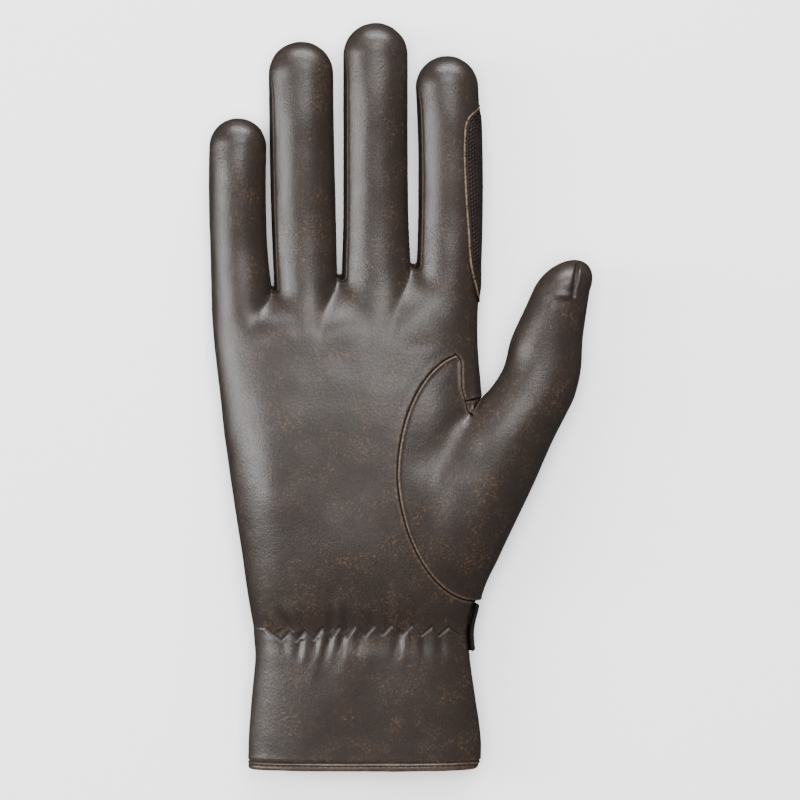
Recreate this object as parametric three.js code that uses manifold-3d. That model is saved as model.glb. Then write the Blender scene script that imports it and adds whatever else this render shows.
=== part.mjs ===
// Right-hand riding glove in thin leather, lying on its back as if a hand filled it.
// X runs to the thumb side, Y to the fingertips and Z up out of the palm, in millimetres.
// The origin is on the flat back of the hand, where the glove rests.
import * as THREE from 'three';
import Module from 'manifold-3d';

const wasm = await Module();
wasm.setup();

// Driving sizes
const handWidth = 90.3; // across the bases of the four fingers
const handDepth = 30; // palm to back, through the heel of the hand
const trunkLength = 138; // hem to knuckle line
const knuckleLength = 26; // knuckle line to the crotches, where the palm turns into fingers
const fingerReach = 110.3; // knuckle line to the tip of the middle finger
const fingerDepth = 19; // palm to back of a finger
const thumbLength = 113.3; // wrist end of the thumb opening to the thumb tip
const thumbSpread = 35.8; // how far the thumb stands out from the side of the hand
const thumbTipLength = 10.3; // rounded end of the thumb
const seamReach = 24.2; // how far the thumb seam bows in across the palm
const leather = 1.2; // wall of the glove leather
const stripWall = 1.0; // thinner leather of the fourchettes
const seamGap = 0.3; // clearance between pieces that are sewn together
const hemHeight = 2.5; // folded band round the opening
const hemWall = 2.4; // doubled leather of the hem
const patchWall = 1.0; // leather of the reinforcement on the index finger
const tabWidth = 16; // closure strap on the back of the wrist
const tabWall = 1.5; // doubled leather of that strap
const tabReach = 30; // how far the strap runs back from the thumb side
const tabStand = 1; // how far its end stands off the side of the wrist
const gatherHeight = 1.1; // leather drawn up by the elastic of the wrist
const gatherCount = 11; // folds across the palm side of the wrist

// Places that follow from those sizes
const knuckleLine = trunkLength * 0.1014; // past the origin, which sits under the middle of the glove
const hemLine = knuckleLine - trunkLength;
const thumbRoot = knuckleLine - trunkLength * 0.5942;
const handSide = handWidth * 0.309; // where the thumb parts from the hand
const littleSide = handWidth * 0.69; // from the glove's long axis to the edge of the little finger
const seamCentre = handSide - thumbSpread * 0.109; // across the hand, where the thumb seam starts and ends
const seamLift = thumbLength * 0.3636; // thumb seam on the palm, half of its height
const quirkRow = 0.5441; // share of the thumb's length where its crotch begins
const crotchRow = 0.5956; // share of the thumb's length where it parts from the hand
const elasticLine = 0.333; // share of the trunk's length where the elastic draws it in

// Sections of hand and cuff: along as a share of trunkLength from the hem, left and right of handWidth,
// middle, rise, drop and floor of handDepth
const trunkSections = [
  { along: 0.0, left: 0.549, right: 0.288, middle: 0.45, rise: 0.37, drop: 0.45, floor: 0.0 },
  { along: 0.025, left: 0.553, right: 0.305, middle: 0.45, rise: 0.385, drop: 0.45, floor: 0.0 },
  { along: 0.08, left: 0.551, right: 0.306, middle: 0.45, rise: 0.395, drop: 0.45, floor: 0.0 },
  { along: 0.17, left: 0.54, right: 0.287, middle: 0.46, rise: 0.405, drop: 0.44, floor: 0.04 },
  { along: 0.27, left: 0.527, right: 0.264, middle: 0.48, rise: 0.385, drop: 0.4, floor: 0.085 },
  { along: 0.333, left: 0.532, right: 0.256, middle: 0.49, rise: 0.355, drop: 0.4, floor: 0.09 },
  { along: 0.4, left: 0.549, right: 0.277, middle: 0.485, rise: 0.455, drop: 0.43, floor: 0.075 },
  { along: 0.5, left: 0.572, right: 0.296, middle: 0.47, rise: 0.535, drop: 0.49, floor: 0.0 },
  { along: 0.65, left: 0.606, right: 0.307, middle: 0.465, rise: 0.56, drop: 0.53, floor: 0.0 },
  { along: 0.8, left: 0.639, right: 0.309, middle: 0.46, rise: 0.53, drop: 0.52, floor: 0.0 },
  { along: 0.9, left: 0.656, right: 0.308, middle: 0.45, rise: 0.48, drop: 0.5, floor: 0.0 },
  { along: 1.0, left: 0.674, right: 0.296, middle: 0.435, rise: 0.42, drop: 0.48, floor: 0.0 },
];

// Fingers from the little one: base and width are shares of handWidth at the crotch and above it, gap the share
// to the next finger, crotches the share of knuckleLength on either side, reach the share of fingerReach,
// lean and bow the sideways run of the finger in shares of handWidth
const fingers = [
  { name: 'little', base: 0.2215, width: 0.2104, gap: 0.0111, crotchLeft: 0.92, crotchRight: 0.82, reach: 0.712,
    lean: -0.012, bow: -0.007 },
  { name: 'ring', base: 0.2326, width: 0.2385, gap: 0.0166, crotchLeft: 0.82, crotchRight: 0.98, reach: 0.943,
    lean: -0.017, bow: -0.003 },
  { name: 'middle', base: 0.2547, width: 0.2385, gap: 0.0221, crotchLeft: 0.98, crotchRight: 1.13, reach: 1.0,
    lean: -0.002, bow: -0.001 },
  { name: 'index', base: 0.232, width: 0.2307, gap: 0, crotchLeft: 1.13, crotchRight: 1.18, reach: 0.9,
    lean: -0.004, bow: 0.008 },
];

// Profile of every finger: middle, rise and drop as shares of fingerDepth, along as a share of its length
const fingerSections = [
  { along: 0.0, flare: 1, middle: 0.6, rise: 0.5, drop: 0.53 },
  { along: 0.25, flare: 0.12, middle: 0.59, rise: 0.48, drop: 0.5 },
  { along: 0.6, flare: 0, middle: 0.61, rise: 0.47, drop: 0.48 },
  { along: 1.0, flare: 0, middle: 0.66, rise: 0.44, drop: 0.45 },
];

// Thumb from its wrist end: along as a share of thumbLength, inner and outer edge of thumbSpread from the side
// of the hand, middle, rise and drop of handDepth
const thumbSections = [
  { along: 0.0, inner: -0.121, outer: -0.014, middle: 0.48, rise: 0.1, drop: 0.1 },
  { along: 0.06, inner: -0.370, outer: 0.059, middle: 0.48, rise: 0.34, drop: 0.25 },
  { along: 0.12, inner: -0.521, outer: 0.153, middle: 0.48, rise: 0.48, drop: 0.36 },
  { along: 0.235, inner: -0.669, outer: 0.320, middle: 0.485, rise: 0.57, drop: 0.43 },
  { along: 0.353, inner: -0.619, outer: 0.496, middle: 0.495, rise: 0.575, drop: 0.45 },
  { along: 0.471, inner: -0.352, outer: 0.665, middle: 0.505, rise: 0.54, drop: 0.45 },
  { along: 0.544, inner: -0.139, outer: 0.778, middle: 0.515, rise: 0.49, drop: 0.44 },
  { along: 0.6, inner: 0.018, outer: 0.859, middle: 0.52, rise: 0.455, drop: 0.43 },
  { along: 0.676, inner: 0.187, outer: 0.916, middle: 0.53, rise: 0.41, drop: 0.41 },
  { along: 0.765, inner: 0.267, outer: 0.936, middle: 0.545, rise: 0.37, drop: 0.37 },
  { along: 0.909, inner: 0.470, outer: 1.000, middle: 0.57, rise: 0.32, drop: 0.32 },
];

// Edge of the pointed thumb fin next to the index finger: along of thumbLength, edge of thumbSpread from the
// side of the hand
const finEdge = [
  { along: 0.5441, edge: -0.091 },
  { along: 0.571, edge: -0.144 },
  { along: 0.5853, edge: -0.157 },
  { along: 0.62, edge: -0.187 },
  { along: 0.66, edge: -0.192 },
  { along: 0.7, edge: -0.196 },
  { along: 0.7235, edge: -0.224 },
];

// Leaf-shaped outline of the index patch: along as a share of its length, front and back edge in degrees
const patchRows = [
  { along: 0.0, front: 22, back: -12 },
  { along: 0.04, front: 33, back: -25 },
  { along: 0.16, front: 48, back: -42 },
  { along: 0.35, front: 58, back: -50 },
  { along: 0.6, front: 66, back: -55 },
  { along: 0.82, front: 66, back: -55 },
  { along: 0.93, front: 56, back: -46 },
  { along: 1.0, front: 30, back: -22 },
];
const patchFoot = knuckleLine + knuckleLength * 0.66;
const patchLength = fingerReach * 0.6;

const trunkPower = 2.6; // fullness of the hand's sections
const fingerPower = 2.15;
const thumbPower = 2.2;
const frontSeam = 12; // degrees above the side line, on the thumb side of a finger
const frontSeamLeft = 34; // the same on its little-finger side, which faces the viewer
const backSeam = 30; // degrees below the side line
const outerSeam = -8; // seam of palm and back, along the outer edges of the hand
const cuffSeam = 14; // where that seam climbs into view along the cuff
const cuffSeamTop = 0.24; // shares of trunkLength where it has climbed, and over which it does
const cuffSeamRun = 0.16;
const cuffGather = 0.16; // shares of trunkLength over which the gathers fade, below the elastic and above it
const palmGather = 0.07;
const gatherStart = 0.02; // flat stretch of the stitching itself
const gatherMargin = 0.12; // share of the width at either side where the gathers die out
const moundBlend = 0.12; // rounding where the thumb's mound leaves the palm, as a share of handDepth
const fingerCellCount = 5;
const webCellCount = 3;
const shaftRowCount = 8;
const capRowCount = 4;
const knuckleRowCount = 5;
const fourchetteEnd = 0.86; // share of a finger's length where its side strips begin to narrow
const webSpread = 3; // half width of the valley below a crotch

const radians = THREE.MathUtils.degToRad;
const mix = THREE.MathUtils.lerp;
const smooth = (t) => THREE.MathUtils.smoothstep(t, 0, 1);
const signedPower = (value, power) => Math.sign(value) * Math.abs(value) ** power;

// Reads one named column of a table at a share of its length, along a smooth curve through the rows
function column(table, name, along) {
  const last = table.length - 1;
  const clamped = THREE.MathUtils.clamp(along, table[0].along, table[last].along);
  let i = 0;
  while (i < last - 1 && clamped > table[i + 1].along) i += 1;
  const slope = (j) => {
    const a = table[Math.max(j - 1, 0)];
    const b = table[Math.min(j + 1, last)];
    return (b[name] - a[name]) / (b.along - a.along);
  };
  const step = table[i + 1].along - table[i].along;
  const t = (clamped - table[i].along) / step;
  const hump = t * t * (3 - 2 * t);
  return mix(table[i][name], table[i + 1][name], hump)
    + step * t * (1 - t) * ((1 - t) * slope(i) - t * slope(i + 1));
}

// Larger of two heights, rounded over where they meet
function roundedMax(a, b, radius) {
  const near = Math.max(radius - Math.abs(a - b), 0) / radius;
  return Math.max(a, b) + near * near * radius / 4;
}

const arch = (offset, power) => (1 - Math.min(Math.abs(offset), 1) ** power) ** (1 / power);

// The hand and cuff as a flattened tube: its section at a place along Y
function trunkSection(y) {
  const along = (y - hemLine) / trunkLength;
  const read = (name, size) => column(trunkSections, name, along) * size;
  return {
    along,
    left: -read('left', handWidth),
    right: read('right', handWidth),
    middle: read('middle', handDepth),
    rise: read('rise', handDepth),
    drop: read('drop', handDepth),
    floor: Math.max(read('floor', handDepth), 0),
  };
}

// Leather gathered on either side of the elastic: ridges that fade towards the hem and the palm
function gather(share, along) {
  const above = along > elasticLine;
  const reach = above ? palmGather : cuffGather;
  const fade = Math.max(1 - Math.abs(along - elasticLine) / reach, 0);
  const start = smooth(Math.abs(along - elasticLine) / gatherStart);
  const edges = smooth(share / gatherMargin) * smooth((1 - share) / gatherMargin);
  const phase = above ? Math.PI : 0;
  return gatherHeight * fade * start * edges * Math.cos(2 * Math.PI * gatherCount * share + phase);
}

// Height of the trunk's palm (side 1) or back (side -1) at a share of its width
function trunkHeight(section, share, side) {
  const fullness = arch(2 * share - 1, trunkPower);
  if (side > 0) return section.middle + section.rise * fullness + gather(share, section.along);
  return Math.max(section.floor, section.middle - section.drop * fullness);
}

// The thumb as a tube that runs down into the palm: its section at a place along Y
function thumbSection(y) {
  const along = (y - thumbRoot) / thumbLength;
  const read = (name, size) => column(thumbSections, name, along) * size;
  const inner = handSide + read('inner', thumbSpread);
  const outer = handSide + read('outer', thumbSpread);
  return {
    centre: (inner + outer) / 2,
    half: (outer - inner) / 2,
    middle: read('middle', handDepth),
    rise: read('rise', handDepth),
    drop: read('drop', handDepth),
  };
}

// Height of palm and thumb together, blended where the thumb's mound leaves the palm
function handHeight(x, y, side) {
  const blend = handDepth * moundBlend;
  const trunk = trunkSection(y);
  const thumb = thumbSection(y);
  const share = (x - trunk.left) / (trunk.right - trunk.left);
  const offset = (x - thumb.centre) / thumb.half;
  const onTrunk = share >= 0 && share <= 1;
  const onThumb = Math.abs(offset) < 1;
  const trunkZ = trunkHeight(trunk, THREE.MathUtils.clamp(share, 0, 1), side);
  const reach = side > 0 ? thumb.rise : thumb.drop;
  const thumbZ = thumb.middle + side * reach * arch(offset, thumbPower);
  if (!onThumb) return onTrunk ? trunkZ : thumb.middle;
  if (!onTrunk) return thumbZ;
  const joined = side * roundedMax(side * trunkZ, side * thumbZ, blend);
  return side > 0 ? joined : Math.max(joined, trunk.floor);
}

// Base of every finger, laid side by side across the hand
let edge = -littleSide;
for (const finger of fingers) {
  const width = finger.base * handWidth;
  finger.left = edge;
  finger.right = edge + width;
  finger.tip = knuckleLine + finger.reach * fingerReach;
  edge = finger.right + finger.gap * handWidth;
}

// A finger's section at a share of its length below the rounded tip
function fingerSection(finger, along) {
  const read = (name) => column(fingerSections, name, along) * fingerDepth;
  const flare = column(fingerSections, 'flare', along);
  const narrow = finger.width * handWidth / 2;
  const base = finger.base * handWidth / 2;
  const lean = finger.lean * along + finger.bow * 4 * along * (1 - along);
  return {
    centre: (finger.left + finger.right) / 2 + lean * handWidth,
    half: mix(narrow, base, flare),
    middle: read('middle'),
    rise: read('rise'),
    drop: read('drop'),
  };
}

// Place on a finger: angle 0 is its thumb side, 90 degrees its palm side; row counts from the crotch
// through the shaft and then round the tip
function fingerPoint(finger, angle, row) {
  const shaft = Math.min(row / shaftRowCount, 1);
  const section = fingerSection(finger, shaft);
  const capLength = section.half;
  const capStart = finger.tip - capLength;
  const across = (1 + Math.cos(angle)) / 2;
  const crotch = knuckleLine + knuckleLength * mix(finger.crotchLeft, finger.crotchRight, across);
  const turn = Math.max(row - shaftRowCount, 0) / capRowCount * Math.PI / 2;
  const shrink = Math.cos(turn);
  const reach = Math.sin(angle) > 0 ? section.rise : section.drop;
  const power = 2 / fingerPower;
  return new THREE.Vector3(
    section.centre + section.half * shrink * signedPower(Math.cos(angle), power),
    mix(crotch, capStart, shaft) + capLength * Math.sin(turn),
    section.middle + reach * shrink * signedPower(Math.sin(angle), power),
  );
}

// Seam angles of a finger on its thumb side (1) or little-finger side (-1), front and back, at a row
function seamAngles(index, side, row) {
  const outer = (index === 0 && side < 0) || (index === fingers.length - 1 && side > 0);
  if (outer) return { front: radians(outerSeam), back: radians(outerSeam) };
  const start = fourchetteEnd * shaftRowCount;
  const end = shaftRowCount + capRowCount / 2;
  const taper = 1 - smooth((row - start) / (end - start));
  const front = side > 0 ? frontSeam : frontSeamLeft;
  return { front: radians(front) * taper, back: radians(-backSeam) * taper };
}

// Columns of the palm sheet from the little finger to the index: either on a finger or in a web
function sheetColumns(side) {
  const list = [];
  fingers.forEach((finger, index) => {
    for (let i = 0; i <= fingerCellCount; i += 1) list.push({ finger: index, share: i / fingerCellCount });
    if (index === fingers.length - 1) return;
    for (let i = 1; i < webCellCount; i += 1) list.push({ web: index, share: i / webCellCount });
  });
  return side > 0 ? list : list.reverse();
}

// Angle of a sheet column round its finger, from the little-finger side seam to the thumb side seam
function columnAngle(item, side, row) {
  const left = seamAngles(item.finger, -1, row);
  const right = seamAngles(item.finger, 1, row);
  if (side > 0) return mix(Math.PI - left.front, right.front, item.share);
  return mix(Math.PI - left.back, 2 * Math.PI + right.back, item.share);
}

// Where the web between two fingers bends round the crotch, at a turn from 0 to 1
function webPoint(index, turn, seam) {
  const a = fingerPoint(fingers[index], seamAngles(index, 1, 0)[seam], 0);
  const b = fingerPoint(fingers[index + 1], Math.PI - seamAngles(index + 1, -1, 0)[seam], 0);
  return bend(a, b, turn);
}

function bend(a, b, turn) {
  const half = (b.x - a.x) / 2;
  const swing = (1 - Math.cos(Math.PI * turn)) / 2;
  return new THREE.Vector3(
    mix(a.x, b.x, swing),
    mix(a.y, b.y, swing) - half * Math.sin(Math.PI * turn),
    mix(a.z, b.z, swing),
  );
}

// Share of the trunk's width below a column, spread out under the webs
function trunkShare(item) {
  const whole = fingers[fingers.length - 1].right - fingers[0].left;
  const spread = (index, place) => {
    const from = fingers[index].left + (index > 0 ? webSpread : 0);
    const to = fingers[index].right - (index < fingers.length - 1 ? webSpread : 0);
    return mix(from, to, place);
  };
  if (item.web !== undefined) {
    return (mix(spread(item.web, 1), spread(item.web + 1, 0), item.share) - fingers[0].left) / whole;
  }
  return (spread(item.finger, (1 + Math.cos(item.angle)) / 2) - fingers[0].left) / whole;
}

// Point of a column on the trunk, at a place along Y; below the elastic the outer seam climbs into view
function trunkPoint(item, side, y) {
  const section = trunkSection(y);
  let face = side;
  let placed = item;
  if (item.angle !== undefined) {
    let angle = item.angle;
    if (item.finger === 0 && item.share === 0) {
      const climb = 1 - smooth((section.along - cuffSeamTop) / cuffSeamRun);
      angle = Math.PI - radians(mix(outerSeam, cuffSeam, climb));
    }
    placed = { ...item, angle };
    face = Math.sin(angle) >= 0 ? 1 : -1;
  }
  const share = trunkShare(placed);
  const x = mix(section.left, section.right, share);
  const z = face > 0 ? Math.max(trunkHeight(section, share, 1), handHeight(x, y, 1)) : handHeight(x, y, -1);
  return new THREE.Vector3(x, y, z);
}

// Point of a column where the palm turns into fingers, at a share of the way from knuckle line to crotches
function knucklePoint(item, side, turn) {
  const base = trunkPoint(item, side, knuckleLine);
  const top = item.web === undefined
    ? fingerPoint(fingers[item.finger], item.angle, 0)
    : webPoint(item.web, item.share, side > 0 ? 'front' : 'back');
  const swing = smooth(turn);
  return new THREE.Vector3(mix(base.x, top.x, swing), mix(base.y, top.y, turn), mix(base.z, top.z, swing));
}

// A welded surface whose faces are sorted by the piece that they belong to
class Skin {
  constructor() {
    this.points = [];
    this.lookup = new Map();
    this.faces = new Map();
  }

  vertex(point) {
    const key = point.toArray().map((value) => Math.round(value * 1000)).join(' ');
    if (!this.lookup.has(key)) {
      this.lookup.set(key, this.points.length);
      this.points.push(point.clone());
    }
    return this.lookup.get(key);
  }

  // Adds a grid of points; its rows and columns turn so that the faces look outwards
  grid(piece, rows) {
    const ids = rows.map((row) => row.map((point) => this.vertex(point)));
    if (!this.faces.has(piece)) this.faces.set(piece, []);
    const list = this.faces.get(piece);
    const add = (a, b, c) => {
      if (a !== b && b !== c && c !== a) list.push([a, b, c]);
    };
    for (let r = 0; r + 1 < ids.length; r += 1) {
      for (let c = 0; c + 1 < ids[r].length; c += 1) {
        add(ids[r][c], ids[r][c + 1], ids[r + 1][c + 1]);
        add(ids[r][c], ids[r + 1][c + 1], ids[r + 1][c]);
      }
    }
  }

  normals() {
    const sums = this.points.map(() => new THREE.Vector3());
    for (const list of this.faces.values()) {
      for (const face of list) {
        const normal = this.faceNormal(face, false);
        face.forEach((id) => sums[id].add(normal));
      }
    }
    return sums.map((sum) => sum.normalize());
  }

  faceNormal(face, unit = true) {
    const [a, b, c] = face.map((id) => this.points[id]);
    const normal = new THREE.Vector3().subVectors(b, a).cross(new THREE.Vector3().subVectors(c, a));
    return unit ? normal.normalize() : normal;
  }

  // Directed edges that only one face uses, with the normal of that face
  border(faces) {
    const edges = new Map();
    for (const face of faces) {
      for (let i = 0; i < 3; i += 1) {
        const from = face[i];
        const to = face[(i + 1) % 3];
        const twin = `${to} ${from}`;
        if (edges.has(twin)) edges.delete(twin);
        else edges.set(`${from} ${to}`, { from, to, normal: this.faceNormal(face) });
      }
    }
    return [...edges.values()];
  }

  // Closed wall from some of the faces: lift is its outer face above the skin, sink its inner face below,
  // and trim pulls its border back along the surface
  wall(pieces, { lift = 0, sink = leather, trim = seamGap / 2 } = {}) {
    const faces = pieces.flatMap((piece) => this.faces.get(piece));
    const normals = this.normals();
    const border = this.border(faces);
    const pull = new Map();
    for (const { from, to, normal } of border) {
      const along = new THREE.Vector3().subVectors(this.points[to], this.points[from]).normalize();
      const inward = new THREE.Vector3().crossVectors(normal, along);
      for (const id of [from, to]) {
        if (!pull.has(id)) pull.set(id, new THREE.Vector3());
        pull.get(id).add(inward);
      }
    }
    for (const direction of pull.values()) direction.setLength(trim / Math.max(direction.length() / 2, 0.5));
    const used = [...new Set(faces.flat())];
    const place = new Map(used.map((id, i) => [id, i]));
    const shell = (offset) => used.map((id) => {
      const point = this.points[id].clone().addScaledVector(normals[id], offset);
      return pull.has(id) ? point.add(pull.get(id)) : point;
    });
    const points = [...shell(lift), ...shell(-sink)];
    const count = used.length;
    const triangles = [];
    for (const face of faces) {
      const [a, b, c] = face.map((id) => place.get(id));
      triangles.push([a, b, c], [a + count, c + count, b + count]);
    }
    for (const { from, to } of border) {
      const a = place.get(from);
      const b = place.get(to);
      if (from < to) triangles.push([b, a, a + count], [b, a + count, b + count]);
      else triangles.push([b, a, b + count], [a, a + count, b + count]);
    }
    return { points, triangles };
  }
}

function geometryFrom({ points, triangles }) {
  const geometry = new THREE.BufferGeometry();
  geometry.setAttribute('position', new THREE.Float32BufferAttribute(points.flatMap((p) => p.toArray()), 3));
  geometry.setIndex(triangles.flat());
  return geometry;
}

function solidFrom({ points, triangles }) {
  return new wasm.Manifold(new wasm.Mesh({
    numProp: 3,
    vertProperties: new Float32Array(points.flatMap((p) => p.toArray())),
    triVerts: new Uint32Array(triangles.flat()),
  }));
}

function geometryOf(solid) {
  const mesh = solid.getMesh();
  const geometry = new THREE.BufferGeometry();
  geometry.setAttribute('position', new THREE.BufferAttribute(mesh.vertProperties, 3));
  geometry.setIndex(new THREE.BufferAttribute(mesh.triVerts, 1));
  return geometry;
}

// Stations of the trunk's rows, closer at the wrist, as shares of trunkLength
const trunkRows = [0.05, 0.11, 0.17, 0.22, 0.26, 0.29, 0.315, 0.333, 0.355, 0.385, 0.42, 0.47, 0.53, 0.59, 0.65,
  0.72, 0.79, 0.86, 0.93, 1.0];

// Front and back sheets, fourchettes and hem as one skin
const hand = new Skin();

function sheetRows(side) {
  const items = sheetColumns(side).map((item) => (
    item.web === undefined ? { ...item, angle: columnAngle(item, side, 0) } : item
  ));
  const hemTop = hemLine + hemHeight;
  const stations = [hemTop, ...trunkRows.map((share) => hemLine + share * trunkLength)];
  const rows = stations.map((y) => items.map((item) => trunkPoint(item, side, y)));
  for (let r = 1; r <= knuckleRowCount; r += 1) {
    const turn = r / knuckleRowCount;
    rows.push(items.map((item) => knucklePoint(item, side, turn)));
  }
  return { items, rows };
}

for (const side of [1, -1]) {
  const piece = side > 0 ? 'palm_panel' : 'back_panel';
  const { items, rows } = sheetRows(side);
  hand.grid(piece, rows);
  const hemEdges = [hemLine, hemLine + hemHeight];
  hand.grid('cuff_hem', hemEdges.map((y) => items.map((item) => trunkPoint(item, side, y))));
  fingers.forEach((finger, index) => {
    const strip = items.filter((item) => item.finger === index);
    const fingerRows = [];
    for (let row = 0; row <= shaftRowCount + capRowCount; row += 1) {
      fingerRows.push(strip.map((item) => fingerPoint(finger, columnAngle(item, side, row), row)));
    }
    hand.grid(piece, fingerRows);
  });
}

// Fourchette: down the thumb side of one finger, round the crotch and up the next finger
function addFourchette(index, name) {
  const last = shaftRowCount + capRowCount / 2;
  const across = [0, 1 / 3, 2 / 3, 1];
  const edgePoint = (finger, side, row, place) => {
    const seams = seamAngles(finger, side, row);
    const angle = mix(seams.front, seams.back, place);
    return fingerPoint(fingers[finger], side > 0 ? angle : Math.PI - angle, row);
  };
  const path = [];
  for (let row = last; row > 0; row -= 1) path.push(across.map((place) => edgePoint(index, 1, row, place)));
  for (let i = 0; i <= webCellCount; i += 1) {
    path.push(across.map((place) => {
      const a = edgePoint(index, 1, 0, place);
      const b = edgePoint(index + 1, -1, 0, place);
      return bend(a, b, i / webCellCount);
    }));
  }
  for (let row = 1; row <= last; row += 1) {
    path.push(across.map((place) => edgePoint(index + 1, -1, row, place)));
  }
  hand.grid(name, across.map((place, i) => path.map((points) => points[i])));
}

const fourchettes = ['fourchette_little_ring', 'fourchette_ring_middle', 'fourchette_middle_index'];
fourchettes.forEach((name, index) => addFourchette(index, name));

// Thumb, with its opening in the hand
const finCellCount = 3;
const ballCellCount = 5;
const crotchCellCount = 6;
const ballRows = [0.008, 0.03, 0.08, 0.15, 0.22, 0.3, 0.38, 0.46, quirkRow];
const tubeRowCount = 8;
const finRows = finEdge.map((row) => row.along);
const ringStart = radians(151); // angle of the thumb's ring where the crotch begins
const seamSag = 0.1; // how much the palm seam leans to the thumb side near the wrist, of seamReach
const backSeamBow = 0.2; // bow of the seam on the back, of seamReach
const crotchBlend = 1 / 3; // share of the thumb's tube over which it takes its own form
const tipLean = 0.45; // how far the thumb's tip sits towards its outer side, of its half width

const thumbY = (along) => thumbRoot + along * thumbLength;

// Thumb seam on the palm: half an ellipse that sinks a little lower towards the wrist
function palmSeam(y) {
  const centreY = thumbRoot + seamLift;
  const offset = THREE.MathUtils.clamp((y - centreY) / seamLift, -1, 1);
  const sag = Math.max(-offset, 0) * seamReach * seamSag;
  return seamCentre - seamReach * Math.sqrt(1 - offset * offset) + sag;
}

// Thumb seam on the back: a shallow bow a finger's breadth in from the edge
function backSeamX(y) {
  const end = thumbY(quirkRow);
  const share = (y - thumbRoot) / (end - thumbRoot);
  const straight = mix(thumbEdge(0), thumbRing(quirkRow, ringStart).x, share);
  return straight - seamReach * backSeamBow * Math.sin(Math.PI * share);
}

const thumbEdge = (along) => {
  const section = thumbSection(thumbY(along));
  return section.centre + section.half;
};

// Point of the thumb's tube at a share of its length and an angle, 0 on its outer side
function thumbRing(along, angle) {
  const y = thumbY(along);
  const section = thumbSection(y);
  const reach = Math.sin(angle) > 0 ? section.rise : section.drop;
  const power = 2 / thumbPower;
  return new THREE.Vector3(
    section.centre + section.half * signedPower(Math.cos(angle), power),
    y,
    section.middle + reach * signedPower(Math.sin(angle), power),
  );
}

const onHand = (x, y, side) => new THREE.Vector3(x, y, handHeight(x, y, side));

// Ball of the thumb at a row: from the palm seam over the outer edge to the seam on the back
function ballRow(along) {
  const y = thumbY(along);
  const inner = palmSeam(y);
  const outer = thumbEdge(along);
  const back = backSeamX(y);
  const quirkX = thumbRing(quirkRow, ringStart).x;
  const finShare = (quirkX - palmSeam(thumbY(quirkRow))) / (thumbEdge(quirkRow) - palmSeam(thumbY(quirkRow)));
  const middle = mix(inner, outer, finShare);
  const points = [];
  for (let i = 0; i < finCellCount; i += 1) points.push(onHand(mix(inner, middle, i / finCellCount), y, 1));
  const spread = (i) => {
    const cosine = signedPower(Math.cos(ringStart * (1 - i / ballCellCount)), 2 / thumbPower);
    const first = signedPower(Math.cos(ringStart), 2 / thumbPower);
    return (cosine - first) / (1 - first);
  };
  for (let i = 0; i < ballCellCount; i += 1) points.push(onHand(mix(middle, outer, spread(i)), y, 1));
  points.push(new THREE.Vector3(outer, y, thumbSection(y).middle));
  for (let i = ballCellCount - 1; i >= 0; i -= 1) points.push(onHand(mix(back, outer, spread(i)), y, -1));
  return points;
}

// Ring of the thumb at a row of the tube: it starts in the curved crotch and is level at the tip
function tubeRing(row, start) {
  const share = Math.min(row / tubeRowCount, 1);
  const turn = Math.max(row - tubeRowCount, 0) / capRowCount * Math.PI / 2;
  const shaftEnd = 1 - thumbTipLength / thumbLength;
  const count = 2 * ballCellCount + crotchCellCount;
  const points = [];
  for (let i = 0; i <= count; i += 1) {
    const inCrotch = Math.max(i - 2 * ballCellCount, 0) / crotchCellCount;
    const angle = i <= 2 * ballCellCount
      ? ringStart * (1 - i / ballCellCount)
      : -ringStart - inCrotch * 2 * (Math.PI - ringStart);
    const base = mix(quirkRow, crotchRow, Math.sin(Math.PI * inCrotch));
    const along = mix(base, shaftEnd, share);
    const point = thumbRing(along, angle);
    if (i <= 2 * ballCellCount) {
      const side = i <= ballCellCount ? 1 : -1;
      const fade = 1 - smooth(share / crotchBlend);
      point.z = mix(point.z, row === 0 ? start[i].z : handHeight(point.x, point.y, side), fade);
    }
    if (turn > 0) {
      const section = thumbSection(point.y);
      const tipX = section.centre + section.half * tipLean;
      const tip = new THREE.Vector3(tipX, point.y + thumbTipLength, section.middle);
      const level = new THREE.Vector3(section.centre, point.y, section.middle);
      const axis = new THREE.Vector3().lerpVectors(level, tip, Math.sin(turn));
      point.sub(level).multiplyScalar(Math.cos(turn)).add(axis);
    }
    points.push(point);
  }
  points[count] = points[0].clone();
  return points;
}

const thumb = new Skin();
const ball = ballRows.map(ballRow);
const crotchLine = ball[ball.length - 1];
thumb.grid('thumb_panel', ball);

const rings = [];
for (let row = 0; row <= tubeRowCount + capRowCount; row += 1) {
  rings.push(tubeRing(row, crotchLine.slice(finCellCount)));
}
for (let i = 0; i <= 2 * ballCellCount; i += 1) rings[0][i] = crotchLine[finCellCount + i];
rings[0][rings[0].length - 1] = rings[0][0];
thumb.grid('thumb_panel', rings);

const finGrid = finRows.map((along) => {
  const y = thumbY(along);
  const right = handSide + column(finEdge, 'edge', along) * thumbSpread;
  const left = Math.min(palmSeam(y), right);
  const row = [];
  for (let i = 0; i <= finCellCount; i += 1) row.push(onHand(mix(left, right, i / finCellCount), y, 1));
  return row;
});
finGrid[0] = crotchLine.slice(0, finCellCount + 1);
finGrid[finGrid.length - 1] = finGrid[finGrid.length - 1].map(() => finGrid[finGrid.length - 1][finCellCount]);
thumb.grid('thumb_panel', finGrid);

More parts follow.
